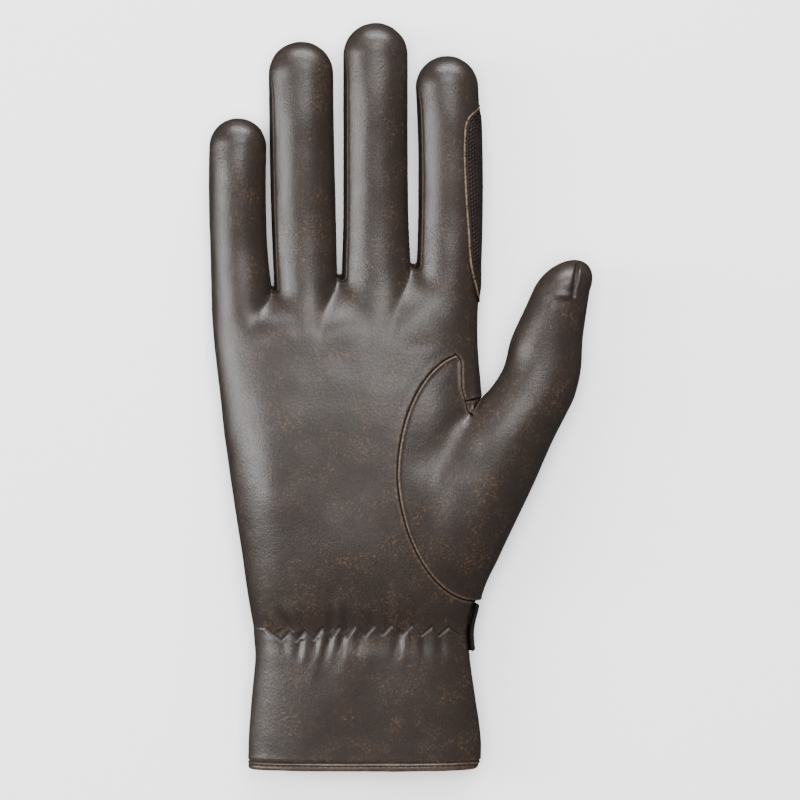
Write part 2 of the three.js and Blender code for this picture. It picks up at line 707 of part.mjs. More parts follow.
// Quirk: fills the crotch between the fin, the thumb and the side of the hand
const quirkLower = [finGrid[2][finCellCount], finGrid[1][finCellCount], rings[0][0]];
const crotchMiddle = 2 * ballCellCount + crotchCellCount / 2;
for (let i = rings[0].length - 2; i >= crotchMiddle; i -= 1) quirkLower.push(rings[0][i]);
const quirkEnd = quirkLower[quirkLower.length - 1];
const quirkUpper = quirkLower.map((point, i) => {
  const share = i / (quirkLower.length - 1);
  const x = mix(quirkLower[0].x, quirkEnd.x, share);
  const y = mix(quirkLower[0].y, quirkEnd.y, share);
  const z = i === 0 || i === quirkLower.length - 1 ? point.z : handHeight(x, y, 1);
  return new THREE.Vector3(x, y, share === 1 ? quirkEnd.z : z);
});
thumb.grid('thumb_quirk', [quirkLower, quirkUpper]);

// Opening that thumb and quirk leave in the hand: their own form, grown by the seam gap and closed inside
function thumbOpening() {
  const faces = [...thumb.faces.values()].flat();
  const normals = thumb.normals();
  const border = thumb.border(faces);
  const next = new Map(border.map((item) => [item.from, item]));
  const outward = new Map();
  for (const { from, to, normal } of border) {
    const along = new THREE.Vector3().subVectors(thumb.points[to], thumb.points[from]).normalize();
    const away = new THREE.Vector3().crossVectors(along, normal);
    for (const id of [from, to]) {
      if (!outward.has(id)) outward.set(id, new THREE.Vector3());
      outward.get(id).add(away);
    }
  }
  for (const direction of outward.values()) direction.setLength(seamGap / 2);
  const points = thumb.points.map((point, id) => {
    const grown = point.clone().addScaledVector(normals[id], seamGap);
    return outward.has(id) ? grown.add(outward.get(id)) : grown;
  });
  const triangles = faces.map((face) => [...face]);
  const depth = leather * 3; // past the inner face of the leather that it removes
  const lower = new Map();
  for (const { from } of border) {
    lower.set(from, points.length);
    points.push(points[from].clone().addScaledVector(normals[from], -depth - seamGap));
  }
  const heart = points.length; // inside the hand, behind the ball of the thumb
  points.push(new THREE.Vector3(seamCentre - seamReach * 0.8, thumbRoot + seamLift * 0.8, handDepth * 0.45));
  for (const { from, to } of next.values()) {
    triangles.push([to, from, lower.get(from)], [to, lower.get(from), lower.get(to)]);
    triangles.push([lower.get(to), lower.get(from), heart]);
  }
  const names = [...thumb.faces.keys()];
  const room = thumb.wall(names, { lift: seamGap, sink: leather + seamGap, trim: -seamGap / 2 });
  return solidFrom({ points, triangles }).add(solidFrom(room));
}

// Reinforcement on the thumb side of the index finger, laid on its surface
const patch = new Skin();
const indexFinger = fingers[fingers.length - 1];

function indexPoint(angle, y) {
  const item = { finger: fingers.length - 1, share: 0.5, angle };
  const base = fingerPoint(indexFinger, angle, 0);
  const side = Math.sin(angle) >= 0 ? 1 : -1;
  if (y < base.y) return knucklePoint(item, side, (y - knuckleLine) / (base.y - knuckleLine));
  const end = fingerPoint(indexFinger, angle, shaftRowCount).y;
  return fingerPoint(indexFinger, angle, (y - base.y) / (end - base.y) * shaftRowCount);
}

const patchCellCount = 5;
const patchRowCount = 12;
const patchGrid = [];
for (let r = 0; r <= patchRowCount; r += 1) {
  const along = (1 - Math.cos(Math.PI * r / patchRowCount)) / 2;
  const y = patchFoot + along * patchLength;
  const back = radians(column(patchRows, 'back', along));
  const front = radians(column(patchRows, 'front', along));
  const row = [];
  for (let c = 0; c <= patchCellCount; c += 1) row.push(indexPoint(mix(front, back, c / patchCellCount), y));
  patchGrid.push(row);
}
patch.grid('index_patch', patchGrid);

// Closure strap: it lies under the back of the wrist and turns up round the thumb side
const tab = new Skin();
const tabCellCount = 9;
const tabWrap = 1.08; // quarter turns that the strap takes round the wrist
const tabEndRound = 0.96; // how fully its end is rounded
const tabFoot = hemLine + trunkLength * 0.283;
const tabRows = [0, 0.08, 0.3, 0.5, 0.7, 0.92, 1];
const tabGrid = [];
for (const share of tabRows) {
  const y = tabFoot + share * tabWidth;
  const section = trunkSection(y);
  const width = section.right - section.left;
  const rounding = tabWidth / 2 * (1 - Math.sqrt(1 - (2 * share - 1) ** 2 * tabEndRound));
  const from = section.right - tabReach + rounding;
  const row = [];
  for (let c = 0; c <= tabCellCount; c += 1) {
    const turn = c / tabCellCount * tabWrap;
    const side = turn > 1 ? 1 : -1;
    const x = from + (section.right - from) * Math.sin(Math.min(turn, 2 - turn) * Math.PI / 2);
    const fullness = arch(2 * (x - section.left) / width - 1, trunkPower);
    const reach = side > 0 ? section.rise : section.drop;
    const flat = section.middle + side * reach * fullness;
    row.unshift(new THREE.Vector3(x + tabStand * smooth(turn), y, Math.max(section.floor, flat)));
  }
  tabGrid.push(row);
}
tab.grid('closure_tab', tabGrid);

// Finish of the leather pieces
const colours = { palm: 0x5c524c, back: 0x564b45, strip: 0x40362f, patch: 0x3a312c, trim: 0x4b4039 };
const finish = (name, color) => new THREE.MeshStandardMaterial({ name, color, roughness: 0.5, metalness: 0 });

const glove = new THREE.Group();
glove.name = 'riding_glove';

function addPiece(name, geometry, material) {
  const mesh = new THREE.Mesh(geometry, material);
  mesh.name = name;
  glove.add(mesh);
}

const opening = thumbOpening();
const cutTolerance = 0.02; // slivers along the cut that are closed up
for (const name of ['palm_panel', 'back_panel']) {
  const cut = solidFrom(hand.wall([name])).subtract(opening).simplify(cutTolerance);
  const parts = cut.decompose().sort((a, b) => b.volume() - a.volume());
  addPiece(name, geometryOf(parts[0]), finish(name, name === 'palm_panel' ? colours.palm : colours.back));
}
for (const name of fourchettes) {
  const strip = hand.wall([name], { sink: stripWall, trim: seamGap });
  addPiece(name, geometryFrom(strip), finish(name, colours.strip));
}
addPiece('thumb_panel', geometryFrom(thumb.wall(['thumb_panel'])), finish('thumb_panel', colours.palm));
addPiece('thumb_quirk', geometryFrom(thumb.wall(['thumb_quirk'])), finish('thumb_quirk', colours.strip));
const patchShell = patch.wall(['index_patch'], { lift: seamGap + patchWall, sink: -seamGap });
addPiece('index_patch', geometryFrom(patchShell), finish('index_patch', colours.patch));
const hemShell = hand.wall(['cuff_hem'], { sink: hemWall });
addPiece('cuff_hem', geometryFrom(hemShell), finish('cuff_hem', colours.trim));
const tabShell = tab.wall(['closure_tab'], { lift: seamGap + tabWall, sink: -seamGap });
addPiece('closure_tab', geometryFrom(tabShell), finish('closure_tab', colours.trim));

export default glove;
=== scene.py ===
"""Looks of a right-hand riding glove that lies on its back, palm up.

X runs to the thumb side, Y to the fingertips and Z up out of the palm. Shapes are worked
out in millimetres and put into the meshes in metres.
"""
import itertools
import logging
import math
from abc import ABC, abstractmethod
from dataclasses import dataclass, field
from enum import Enum, IntEnum

import bpy
import numpy as np
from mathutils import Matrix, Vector


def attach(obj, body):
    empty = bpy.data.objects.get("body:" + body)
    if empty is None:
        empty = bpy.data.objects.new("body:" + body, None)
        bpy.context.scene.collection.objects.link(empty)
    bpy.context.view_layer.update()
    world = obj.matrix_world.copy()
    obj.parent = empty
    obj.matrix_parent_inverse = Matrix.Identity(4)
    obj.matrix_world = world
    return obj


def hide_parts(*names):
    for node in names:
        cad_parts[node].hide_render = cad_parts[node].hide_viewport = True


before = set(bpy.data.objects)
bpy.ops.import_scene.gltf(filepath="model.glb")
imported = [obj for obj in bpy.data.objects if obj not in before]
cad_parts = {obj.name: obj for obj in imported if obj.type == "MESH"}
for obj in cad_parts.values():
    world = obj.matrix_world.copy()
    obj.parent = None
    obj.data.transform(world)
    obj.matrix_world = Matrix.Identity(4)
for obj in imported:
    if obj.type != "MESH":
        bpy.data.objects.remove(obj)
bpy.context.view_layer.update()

Array = np.ndarray
MM = 0.001

# How far leather stays above the floor, and a distance beyond every piece, in millimetres
FLOOR_GAP = 0.02
FAR = 99.0

log = logging.getLogger("riding_glove")


class Side(IntEnum):
    """Face of the hand."""

    PALM = 1
    BACK = -1


class Finger(IntEnum):
    """Fingers in order."""

    LITTLE = 0
    RING = 1
    MIDDLE = 2
    INDEX = 3


class Slot(Enum):
    """Material slots of the record."""

    GLOVE = "glove_leather"
    SIDE = "side_leather"
    PATCH = "patch_leather"
    TRIM = "trim_leather"


def mix(a: Array | float, b: Array | float, share: Array | float) -> Array | float:
    """Returns the point a share of the way from a to b."""
    return a + (b - a) * share


def smooth(t: Array | float) -> Array:
    """Returns 3t squared less 2t cubed, with t kept between 0 and 1."""
    t = np.clip(t, 0.0, 1.0)
    return t * t * (3 - 2 * t)


def arch(offset: Array, power: float) -> Array:
    """Returns the height of a superellipse of half width and height 1 at an offset."""
    return (1 - np.minimum(np.abs(offset), 1) ** power) ** (1 / power)


def bell(offset: Array, width: float | Array) -> Array:
    """Returns e to the power of minus the square of offset over width."""
    return np.exp(-((offset / width) ** 2))


def rolled(distance: Array, width: float) -> Array:
    """Returns a quarter circle's height, 0 at a distance of 0 and 1 from the width on."""
    turn = np.clip(1 - distance / width, 0, 1)
    return np.sqrt(1 - turn * turn)


def unit(vectors: Array) -> Array:
    """Returns vectors of length 1 in the same directions."""
    return vectors / np.maximum(np.linalg.norm(vectors, axis=-1, keepdims=True), 1e-9)


def quarter_rise(turn: Array) -> Array:
    """Returns the height of a rounded U at a turn of 0 (its bottom) to 1 (the top of its arm)."""
    return mix(np.sin(np.pi / 2 * turn), 1 - np.sqrt(np.maximum(1 - turn * turn, 0)), 0.75)


def signed_power(value: Array, power: float) -> Array:
    """Returns the value's size raised to a power, with its sign kept."""
    return np.sign(value) * np.abs(value) ** power


def rounded_max(a: Array, b: Array, radius: float) -> Array:
    """Returns the larger of two heights, rounded over where they are nearer than a radius."""
    near = np.maximum(radius - np.abs(a - b), 0) / radius
    return np.maximum(a, b) + near * near * radius / 4


def bunched(count: int, start: float = 0.0, end: float = 0.0) -> Array:
    """Shares from 0 to 1 that stand closer together at the ends.

    The step at an end is (1 - start) or (1 - end) times that of an even row, and the
    speed between changes along half a cosine.

    Args:
        count: Number of steps.
        start: How much closer the steps are at the start, from 0 to 1.
        end: The same at the end.

    Returns:
        count + 1 shares.
    """
    u = (np.arange(count) + 0.5) / count
    speed = 1 - start * (1 + np.cos(np.pi * np.minimum(u * 2, 1))) / 2
    speed -= end * (1 + np.cos(np.pi * np.minimum((1 - u) * 2, 1))) / 2
    total = np.concatenate(([0.0], np.cumsum(speed)))
    return total / total[-1]


def lattice_noise(points: Array, size: float, seed: int = 0) -> Array:
    """Smooth random field: random numbers on a cubic lattice, blended along smooth curves.

    Args:
        points: Places, one row each.
        size: Spacing of the lattice, in the same unit.
        seed: Number that picks the field.

    Returns:
        One value from -1 to 1 for each place.
    """
    place = points / size
    cell = np.floor(place).astype(np.int64)
    blend = smooth(place - cell)
    total = np.zeros(len(points))
    for corner in itertools.product((0, 1), repeat=3):
        x, y, z = ((cell + corner).astype(np.uint32)).T
        code = x * np.uint32(374761393) ^ y * np.uint32(668265263) ^ z * np.uint32(2246822519)
        code = (code ^ np.uint32(seed * 7919 + 17)) * np.uint32(1274126177)
        code = (code ^ (code >> np.uint32(13))) * np.uint32(2654435761)
        value = (code ^ (code >> np.uint32(16))) / 2.0**31 - 1
        total += value * np.prod(np.where(corner, blend, 1 - blend), axis=1)
    return total


class Profile:
    """Short table whose named columns are read along a smooth curve through its rows."""

    def __init__(self, names: str, *rows: tuple[float, ...]) -> None:
        """Keeps the rows. The first column is the place along the curve."""
        self.names = names.split()
        self.rows = np.array(rows, dtype=float)

    def column(self, name: str) -> Array:
        """Returns one column as it stands."""
        return self.rows[:, self.names.index(name)]

    def read(self, name: str, along: Array) -> Array:
        """Reads a column along the cubic curve whose slopes join each row's neighbours.

        Args:
            name: Column to read.
            along: Places along the first column.

        Returns:
            The values at those places.
        """
        x, v = self.rows[:, 0], self.column(name)
        reach = np.concatenate(([x[1] - x[0]], x[2:] - x[:-2], [x[-1] - x[-2]]))
        slope = np.concatenate(([v[1] - v[0]], v[2:] - v[:-2], [v[-1] - v[-2]])) / reach
        along = np.clip(along, x[0], x[-1])
        i = np.clip(np.searchsorted(x, along) - 1, 0, len(x) - 2)
        step = x[i + 1] - x[i]
        t = (along - x[i]) / step
        hump = step * t * (1 - t) * ((1 - t) * slope[i] - t * slope[i + 1])
        return mix(v[i], v[i + 1], smooth(t)) + hump


# Hand and cuff: along as a share of the trunk from the hem, left and right of the hand's width,
# middle, rise, drop and floor of its depth
TRUNK = Profile(
    "along left right middle rise drop floor",
    (0.0, 0.549, 0.288, 0.45, 0.37, 0.45, 0.0),
    (0.025, 0.553, 0.305, 0.45, 0.385, 0.45, 0.0),
    (0.08, 0.551, 0.306, 0.45, 0.395, 0.45, 0.0),
    (0.17, 0.54, 0.287, 0.46, 0.405, 0.44, 0.04),
    (0.27, 0.527, 0.264, 0.48, 0.385, 0.4, 0.085),
    (0.333, 0.532, 0.256, 0.49, 0.355, 0.4, 0.09),
    (0.4, 0.549, 0.277, 0.485, 0.455, 0.43, 0.075),
    (0.5, 0.572, 0.296, 0.47, 0.535, 0.49, 0.0),
    (0.65, 0.606, 0.307, 0.465, 0.56, 0.53, 0.0),
    (0.8, 0.639, 0.309, 0.46, 0.53, 0.52, 0.0),
    (0.9, 0.656, 0.308, 0.45, 0.48, 0.5, 0.0),
    (1.0, 0.674, 0.296, 0.435, 0.42, 0.48, 0.0),
)

# Fingers from the little one: widths, gaps, lean and bow as shares of the hand's width, crotches of
# the knuckle length and reach of the fingers' reach
FINGERS = Profile(
    "number base width gap crotch_left crotch_right reach lean bow",
    (0, 0.2215, 0.2104, 0.0111, 0.92, 0.82, 0.712, -0.012, -0.007),
    (1, 0.2326, 0.2385, 0.0166, 0.82, 0.98, 0.943, -0.017, -0.003),
    (2, 0.2547, 0.2385, 0.0221, 0.98, 1.13, 1.0, -0.002, -0.001),
    (3, 0.232, 0.2307, 0.0, 1.13, 1.18, 0.9, -0.004, 0.008),
)

# Every finger from crotch to tip: middle, rise and drop as shares of a finger's depth
FINGER = Profile(
    "along flare middle rise drop",
    (0.0, 1.0, 0.6, 0.5, 0.53),
    (0.25, 0.12, 0.59, 0.475, 0.5),
    (0.6, 0.0, 0.61, 0.5, 0.48),
    (0.8, 0.0, 0.635, 0.505, 0.465),
    (1.0, 0.0, 0.66, 0.44, 0.45),
)

# Thumb from its wrist end: along as a share of its length, edges of its spread, heights of the
# hand's depth
THUMB = Profile(
    "along inner outer middle rise drop",
    (0.0, -0.121, -0.014, 0.48, 0.1, 0.1),
    (0.06, -0.370, 0.059, 0.48, 0.34, 0.25),
    (0.12, -0.521, 0.153, 0.48, 0.48, 0.36),
    (0.235, -0.669, 0.320, 0.485, 0.57, 0.43),
    (0.353, -0.619, 0.496, 0.495, 0.575, 0.45),
    (0.471, -0.352, 0.665, 0.505, 0.54, 0.45),
    (0.544, -0.139, 0.778, 0.515, 0.49, 0.44),
    (0.6, 0.018, 0.859, 0.52, 0.455, 0.43),
    (0.676, 0.187, 0.916, 0.53, 0.41, 0.41),
    (0.765, 0.267, 0.936, 0.545, 0.37, 0.37),
    (0.909, 0.470, 1.000, 0.57, 0.32, 0.32),
)

# Edge of the pointed fin of the thumb, next to the index finger, as a share of the thumb's spread
FIN = Profile(
    "along edge",
    (0.5441, -0.091),
    (0.571, -0.144),
    (0.5853, -0.157),
    (0.62, -0.187),
    (0.66, -0.192),
    (0.7, -0.196),
    (0.7235, -0.224),
)

# Leaf-shaped patch of the index finger: front and back edge in degrees round the finger
PATCH = Profile(
    "along front back",
    (0.0, 5, -6),
    (0.04, 27, -24),
    (0.16, 48, -42),
    (0.35, 58, -50),
    (0.6, 66, -55),
    (0.82, 66, -55),
    (0.93, 54, -44),
    (1.0, 6, -8),
)

# Corners of the zigzag that holds the elastic, in millimetres
ZIGZAG = Profile(
    "x y",
    (-43.3, -77.0),
    (-38.6, -80.6),
    (-35.7, -77.6),
    (-33.4, -80.6),
    (-30.7, -77.3),
    (-27.9, -80.3),
    (-24.9, -76.2),
    (-22.3, -79.6),
    (-19.2, -76.0),
    (-16.8, -79.2),
    (-14.0, -75.6),
    (-11.0, -79.0),
    (-7.7, -75.5),
    (-5.1, -78.6),
    (-2.0, -75.4),
    (1.4, -78.5),
    (4.7, -75.4),
    (7.7, -78.9),
    (11.4, -75.9),
    (13.5, -79.2),
    (16.8, -76.3),
    (21.0, -79.3),
)

# Folds of the leather on the palm side, from one end to the other, in millimetres. A fold is full
# near its first end and dies out at its second
FOLDS = Profile(
    "x0 y0 x1 y1 width height",
    (-34.5, -78.5, -37.5, -90.0, 1.6, 0.55),
    (-30.0, -78.6, -31.4, -92.0, 1.3, 0.8),
    (-24.4, -78.4, -29.5, -97.0, 1.3, 0.85),
    (-20.0, -78.0, -22.0, -88.0, 1.2, 0.75),
    (-14.5, -77.5, -19.5, -97.0, 1.7, 0.95),
    (-8.5, -77.5, -10.5, -92.0, 2.2, 0.6),
    (-2.5, -77.5, -3.5, -88.0, 1.8, 0.35),
    (3.2, -77.5, 1.0, -92.0, 1.2, 0.9),
    (5.8, -77.5, 5.5, -96.0, 2.0, 0.5),
    (11.2, -78.0, 12.0, -90.0, 1.8, 0.5),
    (16.5, -78.5, 18.0, -92.0, 1.8, 0.45),
    (-37.8, -81.5, -35.6, -88.0, 1.2, -0.5),
    (-32.2, -81.5, -33.0, -88.0, 0.9, -0.7),
    (-27.0, -81.0, -27.6, -88.0, 1.0, -0.75),
    (-22.6, -80.5, -25.4, -90.0, 1.0, -0.85),
    (-18.2, -80.2, -19.4, -87.0, 0.9, -0.7),
    (-11.6, -80.0, -13.0, -87.0, 1.1, -0.35),
    (0.2, -79.5, -0.8, -90.0, 1.5, -0.85),
    (8.3, -79.5, 9.4, -89.0, 1.4, -0.7),
    (14.2, -80.0, 15.0, -88.0, 1.3, -0.6),
    (-42.0, -82.0, -41.5, -104.0, 3.2, 0.7),
    (-14.0, -88.0, -29.0, -118.0, 5.5, 0.8),
    (-39.5, -76.0, -43.5, -69.5, 1.5, 0.75),
    (-35.6, -76.6, -40.0, -69.0, 0.9, -0.75),
    (-33.5, -76.8, -37.0, -66.0, 2.2, 0.9),
    (-27.6, -76.6, -30.0, -67.0, 1.6, 0.3),
    (-24.6, -75.4, -23.0, -64.0, 1.4, 0.4),
    (-21.8, -76.2, -22.4, -63.0, 1.1, -0.85),
    (-19.0, -75.4, -20.0, -64.0, 1.1, 0.6),
    (-16.6, -76.0, -17.6, -66.0, 1.0, -0.6),
    (-12.0, -75.6, -13.0, -66.0, 1.5, 0.4),
    (-8.6, -75.4, -8.0, -68.0, 1.1, -0.35),
    (-3.2, -75.2, -3.4, -60.0, 1.1, -0.6),
    (-0.6, -75.6, -1.0, -60.0, 1.2, 0.45),
    (5.6, -75.2, 6.2, -66.0, 1.4, -0.35),
    (12.4, -75.6, 12.6, -67.0, 1.6, 0.3),
)

# Broad swells and hollows of the palm: centre, reach across and along, and height, in millimetres
SWELLS = Profile(
    "x y across along height",
    (-44.0, -34.0, 8.0, 34.0, 0.9),
    (-20.0, -22.0, 11.0, 22.0, -1.3),
    (-30.0, 22.0, 20.0, 6.0, 0.6),
    (10.0, 24.0, 11.0, 14.0, 0.8),
    (-16.0, -52.0, 12.0, 9.0, 0.5),
    (8.0, -28.0, 4.5, 22.0, 0.5),
)

# The same for the thumb: the crease below its slit, and the hollows of its ball
THUMB_FOLDS = Profile(
    "x0 y0 x1 y1 width height",
    (56.2, 32.9, 47.6, 33.7, 0.95, 0.6),
    (55.5, 31.4, 49.5, 31.8, 1.6, -0.22),
    (59.9, 41.0, 58.9, 31.0, 0.7, 0.3),
    (50.5, 30.0, 44.5, 12.0, 3.0, 0.4),
)
THUMB_SWELLS = Profile(
    "x y across along height",
    (9.0, -31.0, 6.0, 9.0, 0.7),
    (24.0, -22.0, 7.0, 10.0, -0.6),
    (14.0, -7.0, 7.0, 9.0, 0.7),
)

# Section of the hem band from its upper outer edge round the fold to its inner edge: height above
# the opening and distance outwards, in millimetres
HEM_BAND = Profile(
    "turn up out",
    (0.0, 2.9, -0.5),
    (0.06, 2.55, -0.1),
    (0.12, 2.2, 0.22),
    (0.18, 1.95, 0.1),
    (0.24, 1.7, -0.08),
    (0.3, 1.45, 0.1),
    (0.42, 0.9, 0.26),
    (0.54, 0.3, 0.1),
    (0.62, 0.0, -0.6),
    (0.68, 0.1, -1.4),
    (0.76, 1.0, -2.0),
    (1.0, 9.0, -2.1),
)

# Steps to either side, in millimetres, whose heights are averaged over the fold beside the thumb,
# and their weights
SPAN = ((-6, 0.06), (-4, 0.12), (-2, 0.2), (0, 0.24), (2, 0.2), (4, 0.12), (6, 0.06))

# Along a fold, as shares of its length: how much it widens, how far before its first end it starts
# and over what it rises, and where past its second end it stops and over what it fades
FOLD_WIDENS = 0.7
FOLD_LEAD, FOLD_RISE = 0.25, 0.2
FOLD_END, FOLD_FADE = 1.1, 0.95

# Powers of the superellipses
TRUNK_POWER = 2.6
FINGER_POWER = 2.15
THUMB_POWER = 2.2

# Rows of a finger, up its shaft and over its tip
SHAFT_ROWS = 8
CAP_ROWS = 4

# Gap between the columns of two fingers at the knuckle line, in millimetres
WEB_SPREAD = 3.0

# Seams: angles round a finger, and shares of the shaft and of the trunk
FRONT_SEAM = math.radians(12)
FRONT_SEAM_LEFT = math.radians(34)
BACK_SEAM = math.radians(30)
OUTER_SEAM = math.radians(-8)
CUFF_SEAM = math.radians(14)
FOURCHETTE_END = 0.86
CUFF_SEAM_TOP = 0.24
CUFF_SEAM_RUN = 0.16

# Crotch of the thumb: shares of the thumb's length, and the angle round it where the crotch begins
QUIRK_ROW = 0.5441
FIN_FOOT_ROW = 0.5853
CROTCH_ROW = 0.5956
RING_START = math.radians(151)


@dataclass(frozen=True)
class Section:
    """Sections of hand or thumb at some rows, in millimetres."""

    left: Array
    right: Array
    middle: Array
    rise: Array
    drop: Array
    floor: Array | float = 0.0

    @property
    def width(self) -> Array:
        """Width from edge to edge."""
        return self.right - self.left

    @property
    def centre(self) -> Array:
        """Place half way across."""
        return (self.left + self.right) / 2


@dataclass(frozen=True)
class HandForm:
    """Form of the hand that fills the glove, from its sizes in millimetres."""

    hand_width: float = 90.3
    hand_depth: float = 30.0
    trunk_length: float = 138.0
    knuckle_length: float = 26.0
    finger_reach: float = 110.3
    finger_depth: float = 19.0
    thumb_length: float = 113.3
    thumb_spread: float = 35.8
    thumb_tip_length: float = 10.3
    seam_reach: float = 24.2
    hem_height: float = 2.5
    web_slope: float = 2.6
    web_turn: float = 1.2
    root_fade: float = 6.0
    root_rise: float = 12.0
    thumb_blend: float = 0.12
    span_width: float = 9.0
    span_top: float = -3.0
    span_fade: float = 8.0
    fin_turn: float = 3.2
    fin_tip: float = 1.3
    seam_sag: float = 0.1
    seam_bow: float = 0.2
    little_share: float = 0.69
    knuckle_share: float = 0.1014
    root_share: float = 0.5942
    side_share: float = 0.309
    seam_share: float = 0.109
    lift_share: float = 0.3636

    @property
    def little_side(self) -> float:
        """From the glove's long axis to the edge of the little finger."""
        return self.hand_width * self.little_share

    @property
    def knuckle_line(self) -> float:
        """Where the palm begins to turn into fingers."""
        return self.trunk_length * self.knuckle_share

    @property
    def hem_line(self) -> float:
        """Edge of the cuff."""
        return self.knuckle_line - self.trunk_length

    @property
    def hem_top(self) -> float:
        """Upper edge of the hem band."""
        return self.hem_line + self.hem_height

    @property
    def thumb_root(self) -> float:
        """Wrist end of the thumb's opening."""
        return self.knuckle_line - self.trunk_length * self.root_share

    @property
    def hand_side(self) -> float:
        """Where the thumb parts from the hand, across."""
        return self.hand_width * self.side_share

    @property
    def seam_centre(self) -> float:
        """Where the thumb's seam starts and ends, across."""
        return self.hand_side - self.thumb_spread * self.seam_share

    @property
    def seam_lift(self) -> float:
        """Half of the height of the thumb's seam."""
        return self.thumb_length * self.lift_share

    @property
    def seam_middle(self) -> float:
        """Row where the thumb's seam reaches furthest into the palm."""
        return self.thumb_root + self.seam_lift

    @property
    def finger_left(self) -> Array:
        """Left edges of the fingers' bases, laid side by side."""
        steps = (FINGERS.column("base") + FINGERS.column("gap")) * self.hand_width
        return -self.little_side + np.concatenate(([0.0], np.cumsum(steps)[:-1]))

    @property
    def finger_right(self) -> Array:
        """Right edges of the fingers' bases."""
        return self.finger_left + FINGERS.column("base") * self.hand_width

    def trunk(self, y: Array) -> Section:
        """Returns the hand's sections at rows y."""
        along = (y - self.hem_line) / self.trunk_length
        width, depth = self.hand_width, self.hand_depth
        return Section(
            left=-TRUNK.read("left", along) * width,
            right=TRUNK.read("right", along) * width,
            middle=TRUNK.read("middle", along) * depth,
            rise=TRUNK.read("rise", along) * depth,
            drop=TRUNK.read("drop", along) * depth,
            floor=np.maximum(TRUNK.read("floor", along), 0) * depth,
        )

    def thumb(self, y: Array) -> Section:
        """Returns the thumb's sections at rows y; below its root it shrinks to nothing."""
        along = (y - self.thumb_root) / self.thumb_length
        spread, depth = self.thumb_spread, self.hand_depth
        inner = self.hand_side + THUMB.read("inner", along) * spread
        outer = self.hand_side + THUMB.read("outer", along) * spread
        fade = smooth(1 + (y - self.thumb_root) / self.root_fade)
        centre, half = (inner + outer) / 2, (outer - inner) / 2 * np.maximum(fade, 0.01)
        return Section(
            left=centre - half,
            right=centre + half,
            middle=THUMB.read("middle", along) * depth,
            rise=THUMB.read("rise", along) * depth * fade,
            drop=THUMB.read("drop", along) * depth * fade,
        )

    def height(self, x: Array, y: Array, side: Side) -> Array:
        """Height of the leather, which spans the fold between palm and thumb.

        Next to the thumb's inner edge the height is the mean of those up to a few
        millimetres to either side, weighted like a bell curve.

        Args:
            x: Places across.
            y: Rows.
            side: Palm or back.

        Returns:
            Heights in millimetres.
        """
        plain = self.filled(x, y, side)
        if side < 0:
            return plain
        spread = np.zeros_like(plain)
        for step, weight in SPAN:
            spread = spread + weight * self.filled(x + step, y, side)
        near = bell(x - self.thumb(y).left, self.span_width)
        near = near * smooth((self.span_top - y) / self.span_fade)
        return mix(plain, spread, near * smooth((y - self.thumb_root) / self.root_rise))

    def filled(self, x: Array, y: Array, side: Side) -> Array:
        """Height of hand and thumb together.

        Each is a superellipse across its section, and the outer of the two counts, rounded
        over where they meet. The back stays above the section's floor.

        Args:
            x: Places across.
            y: Rows.
            side: Palm or back.

        Returns:
            Heights in millimetres.
        """
        hand, thumb = self.trunk(y), self.thumb(y)
        share = (x - hand.left) / hand.width
        offset = (x - thumb.centre) / (thumb.width / 2)
        on_hand = (share >= 0) & (share <= 1)
        on_thumb = np.abs(offset) < 1
        reach = hand.rise if side > 0 else hand.drop
        hand_z = hand.middle + side * reach * arch(2 * np.clip(share, 0, 1) - 1, TRUNK_POWER)
        reach = thumb.rise if side > 0 else thumb.drop
        thumb_z = thumb.middle + side * reach * arch(offset, THUMB_POWER)
        blend = self.hand_depth * self.thumb_blend
        joined = side * rounded_max(side * hand_z, side * thumb_z, blend)
        if side < 0:
            hand_z = np.maximum(hand_z, hand.floor)
            joined = np.maximum(joined, hand.floor)
        inside = np.where(on_thumb, joined, hand_z)
        outside = np.where(on_thumb, thumb_z, np.where(share < 0.5, hand.middle, thumb.middle))
        return np.where(on_hand, inside, outside)

    def on_hand(self, x: Array, y: Array, side: Side) -> Array:
        """Returns the places (x, y, height) on the palm or back."""
        x, y = np.broadcast_arrays(x, y)
        return np.stack((x, y, self.height(x, y, side)), -1)

    def finger_point(self, i: int, angle: Array, row: Array) -> Array:
        """Place on a finger.

        A section is a superellipse whose half width and heights come from the tables. Rows
        0 to 8 run up the shaft, and rows 8 to 12 turn a quarter circle over the tip. The
        web between two fingers starts higher at the back than at the front.

        Args:
            i: Finger, from the little one.
            angle: 0 on the thumb side, a quarter turn on the palm side.
            row: Row from the crotch.

        Returns:
            Places, one for each angle and row.
        """
        shaft = np.minimum(row / SHAFT_ROWS, 1)
        spec = {name: FINGERS.column(name)[i] for name in FINGERS.names}
        lean = spec["lean"] * shaft + spec["bow"] * 4 * shaft * (1 - shaft)
        centre = (self.finger_left[i] + self.finger_right[i]) / 2 + lean * self.hand_width
        half = mix(spec["width"], spec["base"], FINGER.read("flare", shaft)) * self.hand_width / 2
        across = (1 + np.cos(angle)) / 2
        crotch = mix(spec["crotch_left"], spec["crotch_right"], across)
        inner = mix(float(i > Finger.LITTLE), float(i < Finger.INDEX), across)
        slope = self.web_slope * inner * smooth(0.5 - self.web_turn * np.sin(angle))
        crotch = self.knuckle_line + self.knuckle_length * crotch + slope
        tip = self.knuckle_line + spec["reach"] * self.finger_reach
        turn = np.maximum(row - SHAFT_ROWS, 0) / CAP_ROWS * np.pi / 2
        rise, drop = FINGER.read("rise", shaft), FINGER.read("drop", shaft)
        reach = np.where(np.sin(angle) > 0, rise, drop) * self.finger_depth * np.cos(turn)
        x = centre + half * np.cos(turn) * signed_power(np.cos(angle), 2 / FINGER_POWER)
        y = mix(crotch, tip - half, shaft) + half * np.sin(turn)
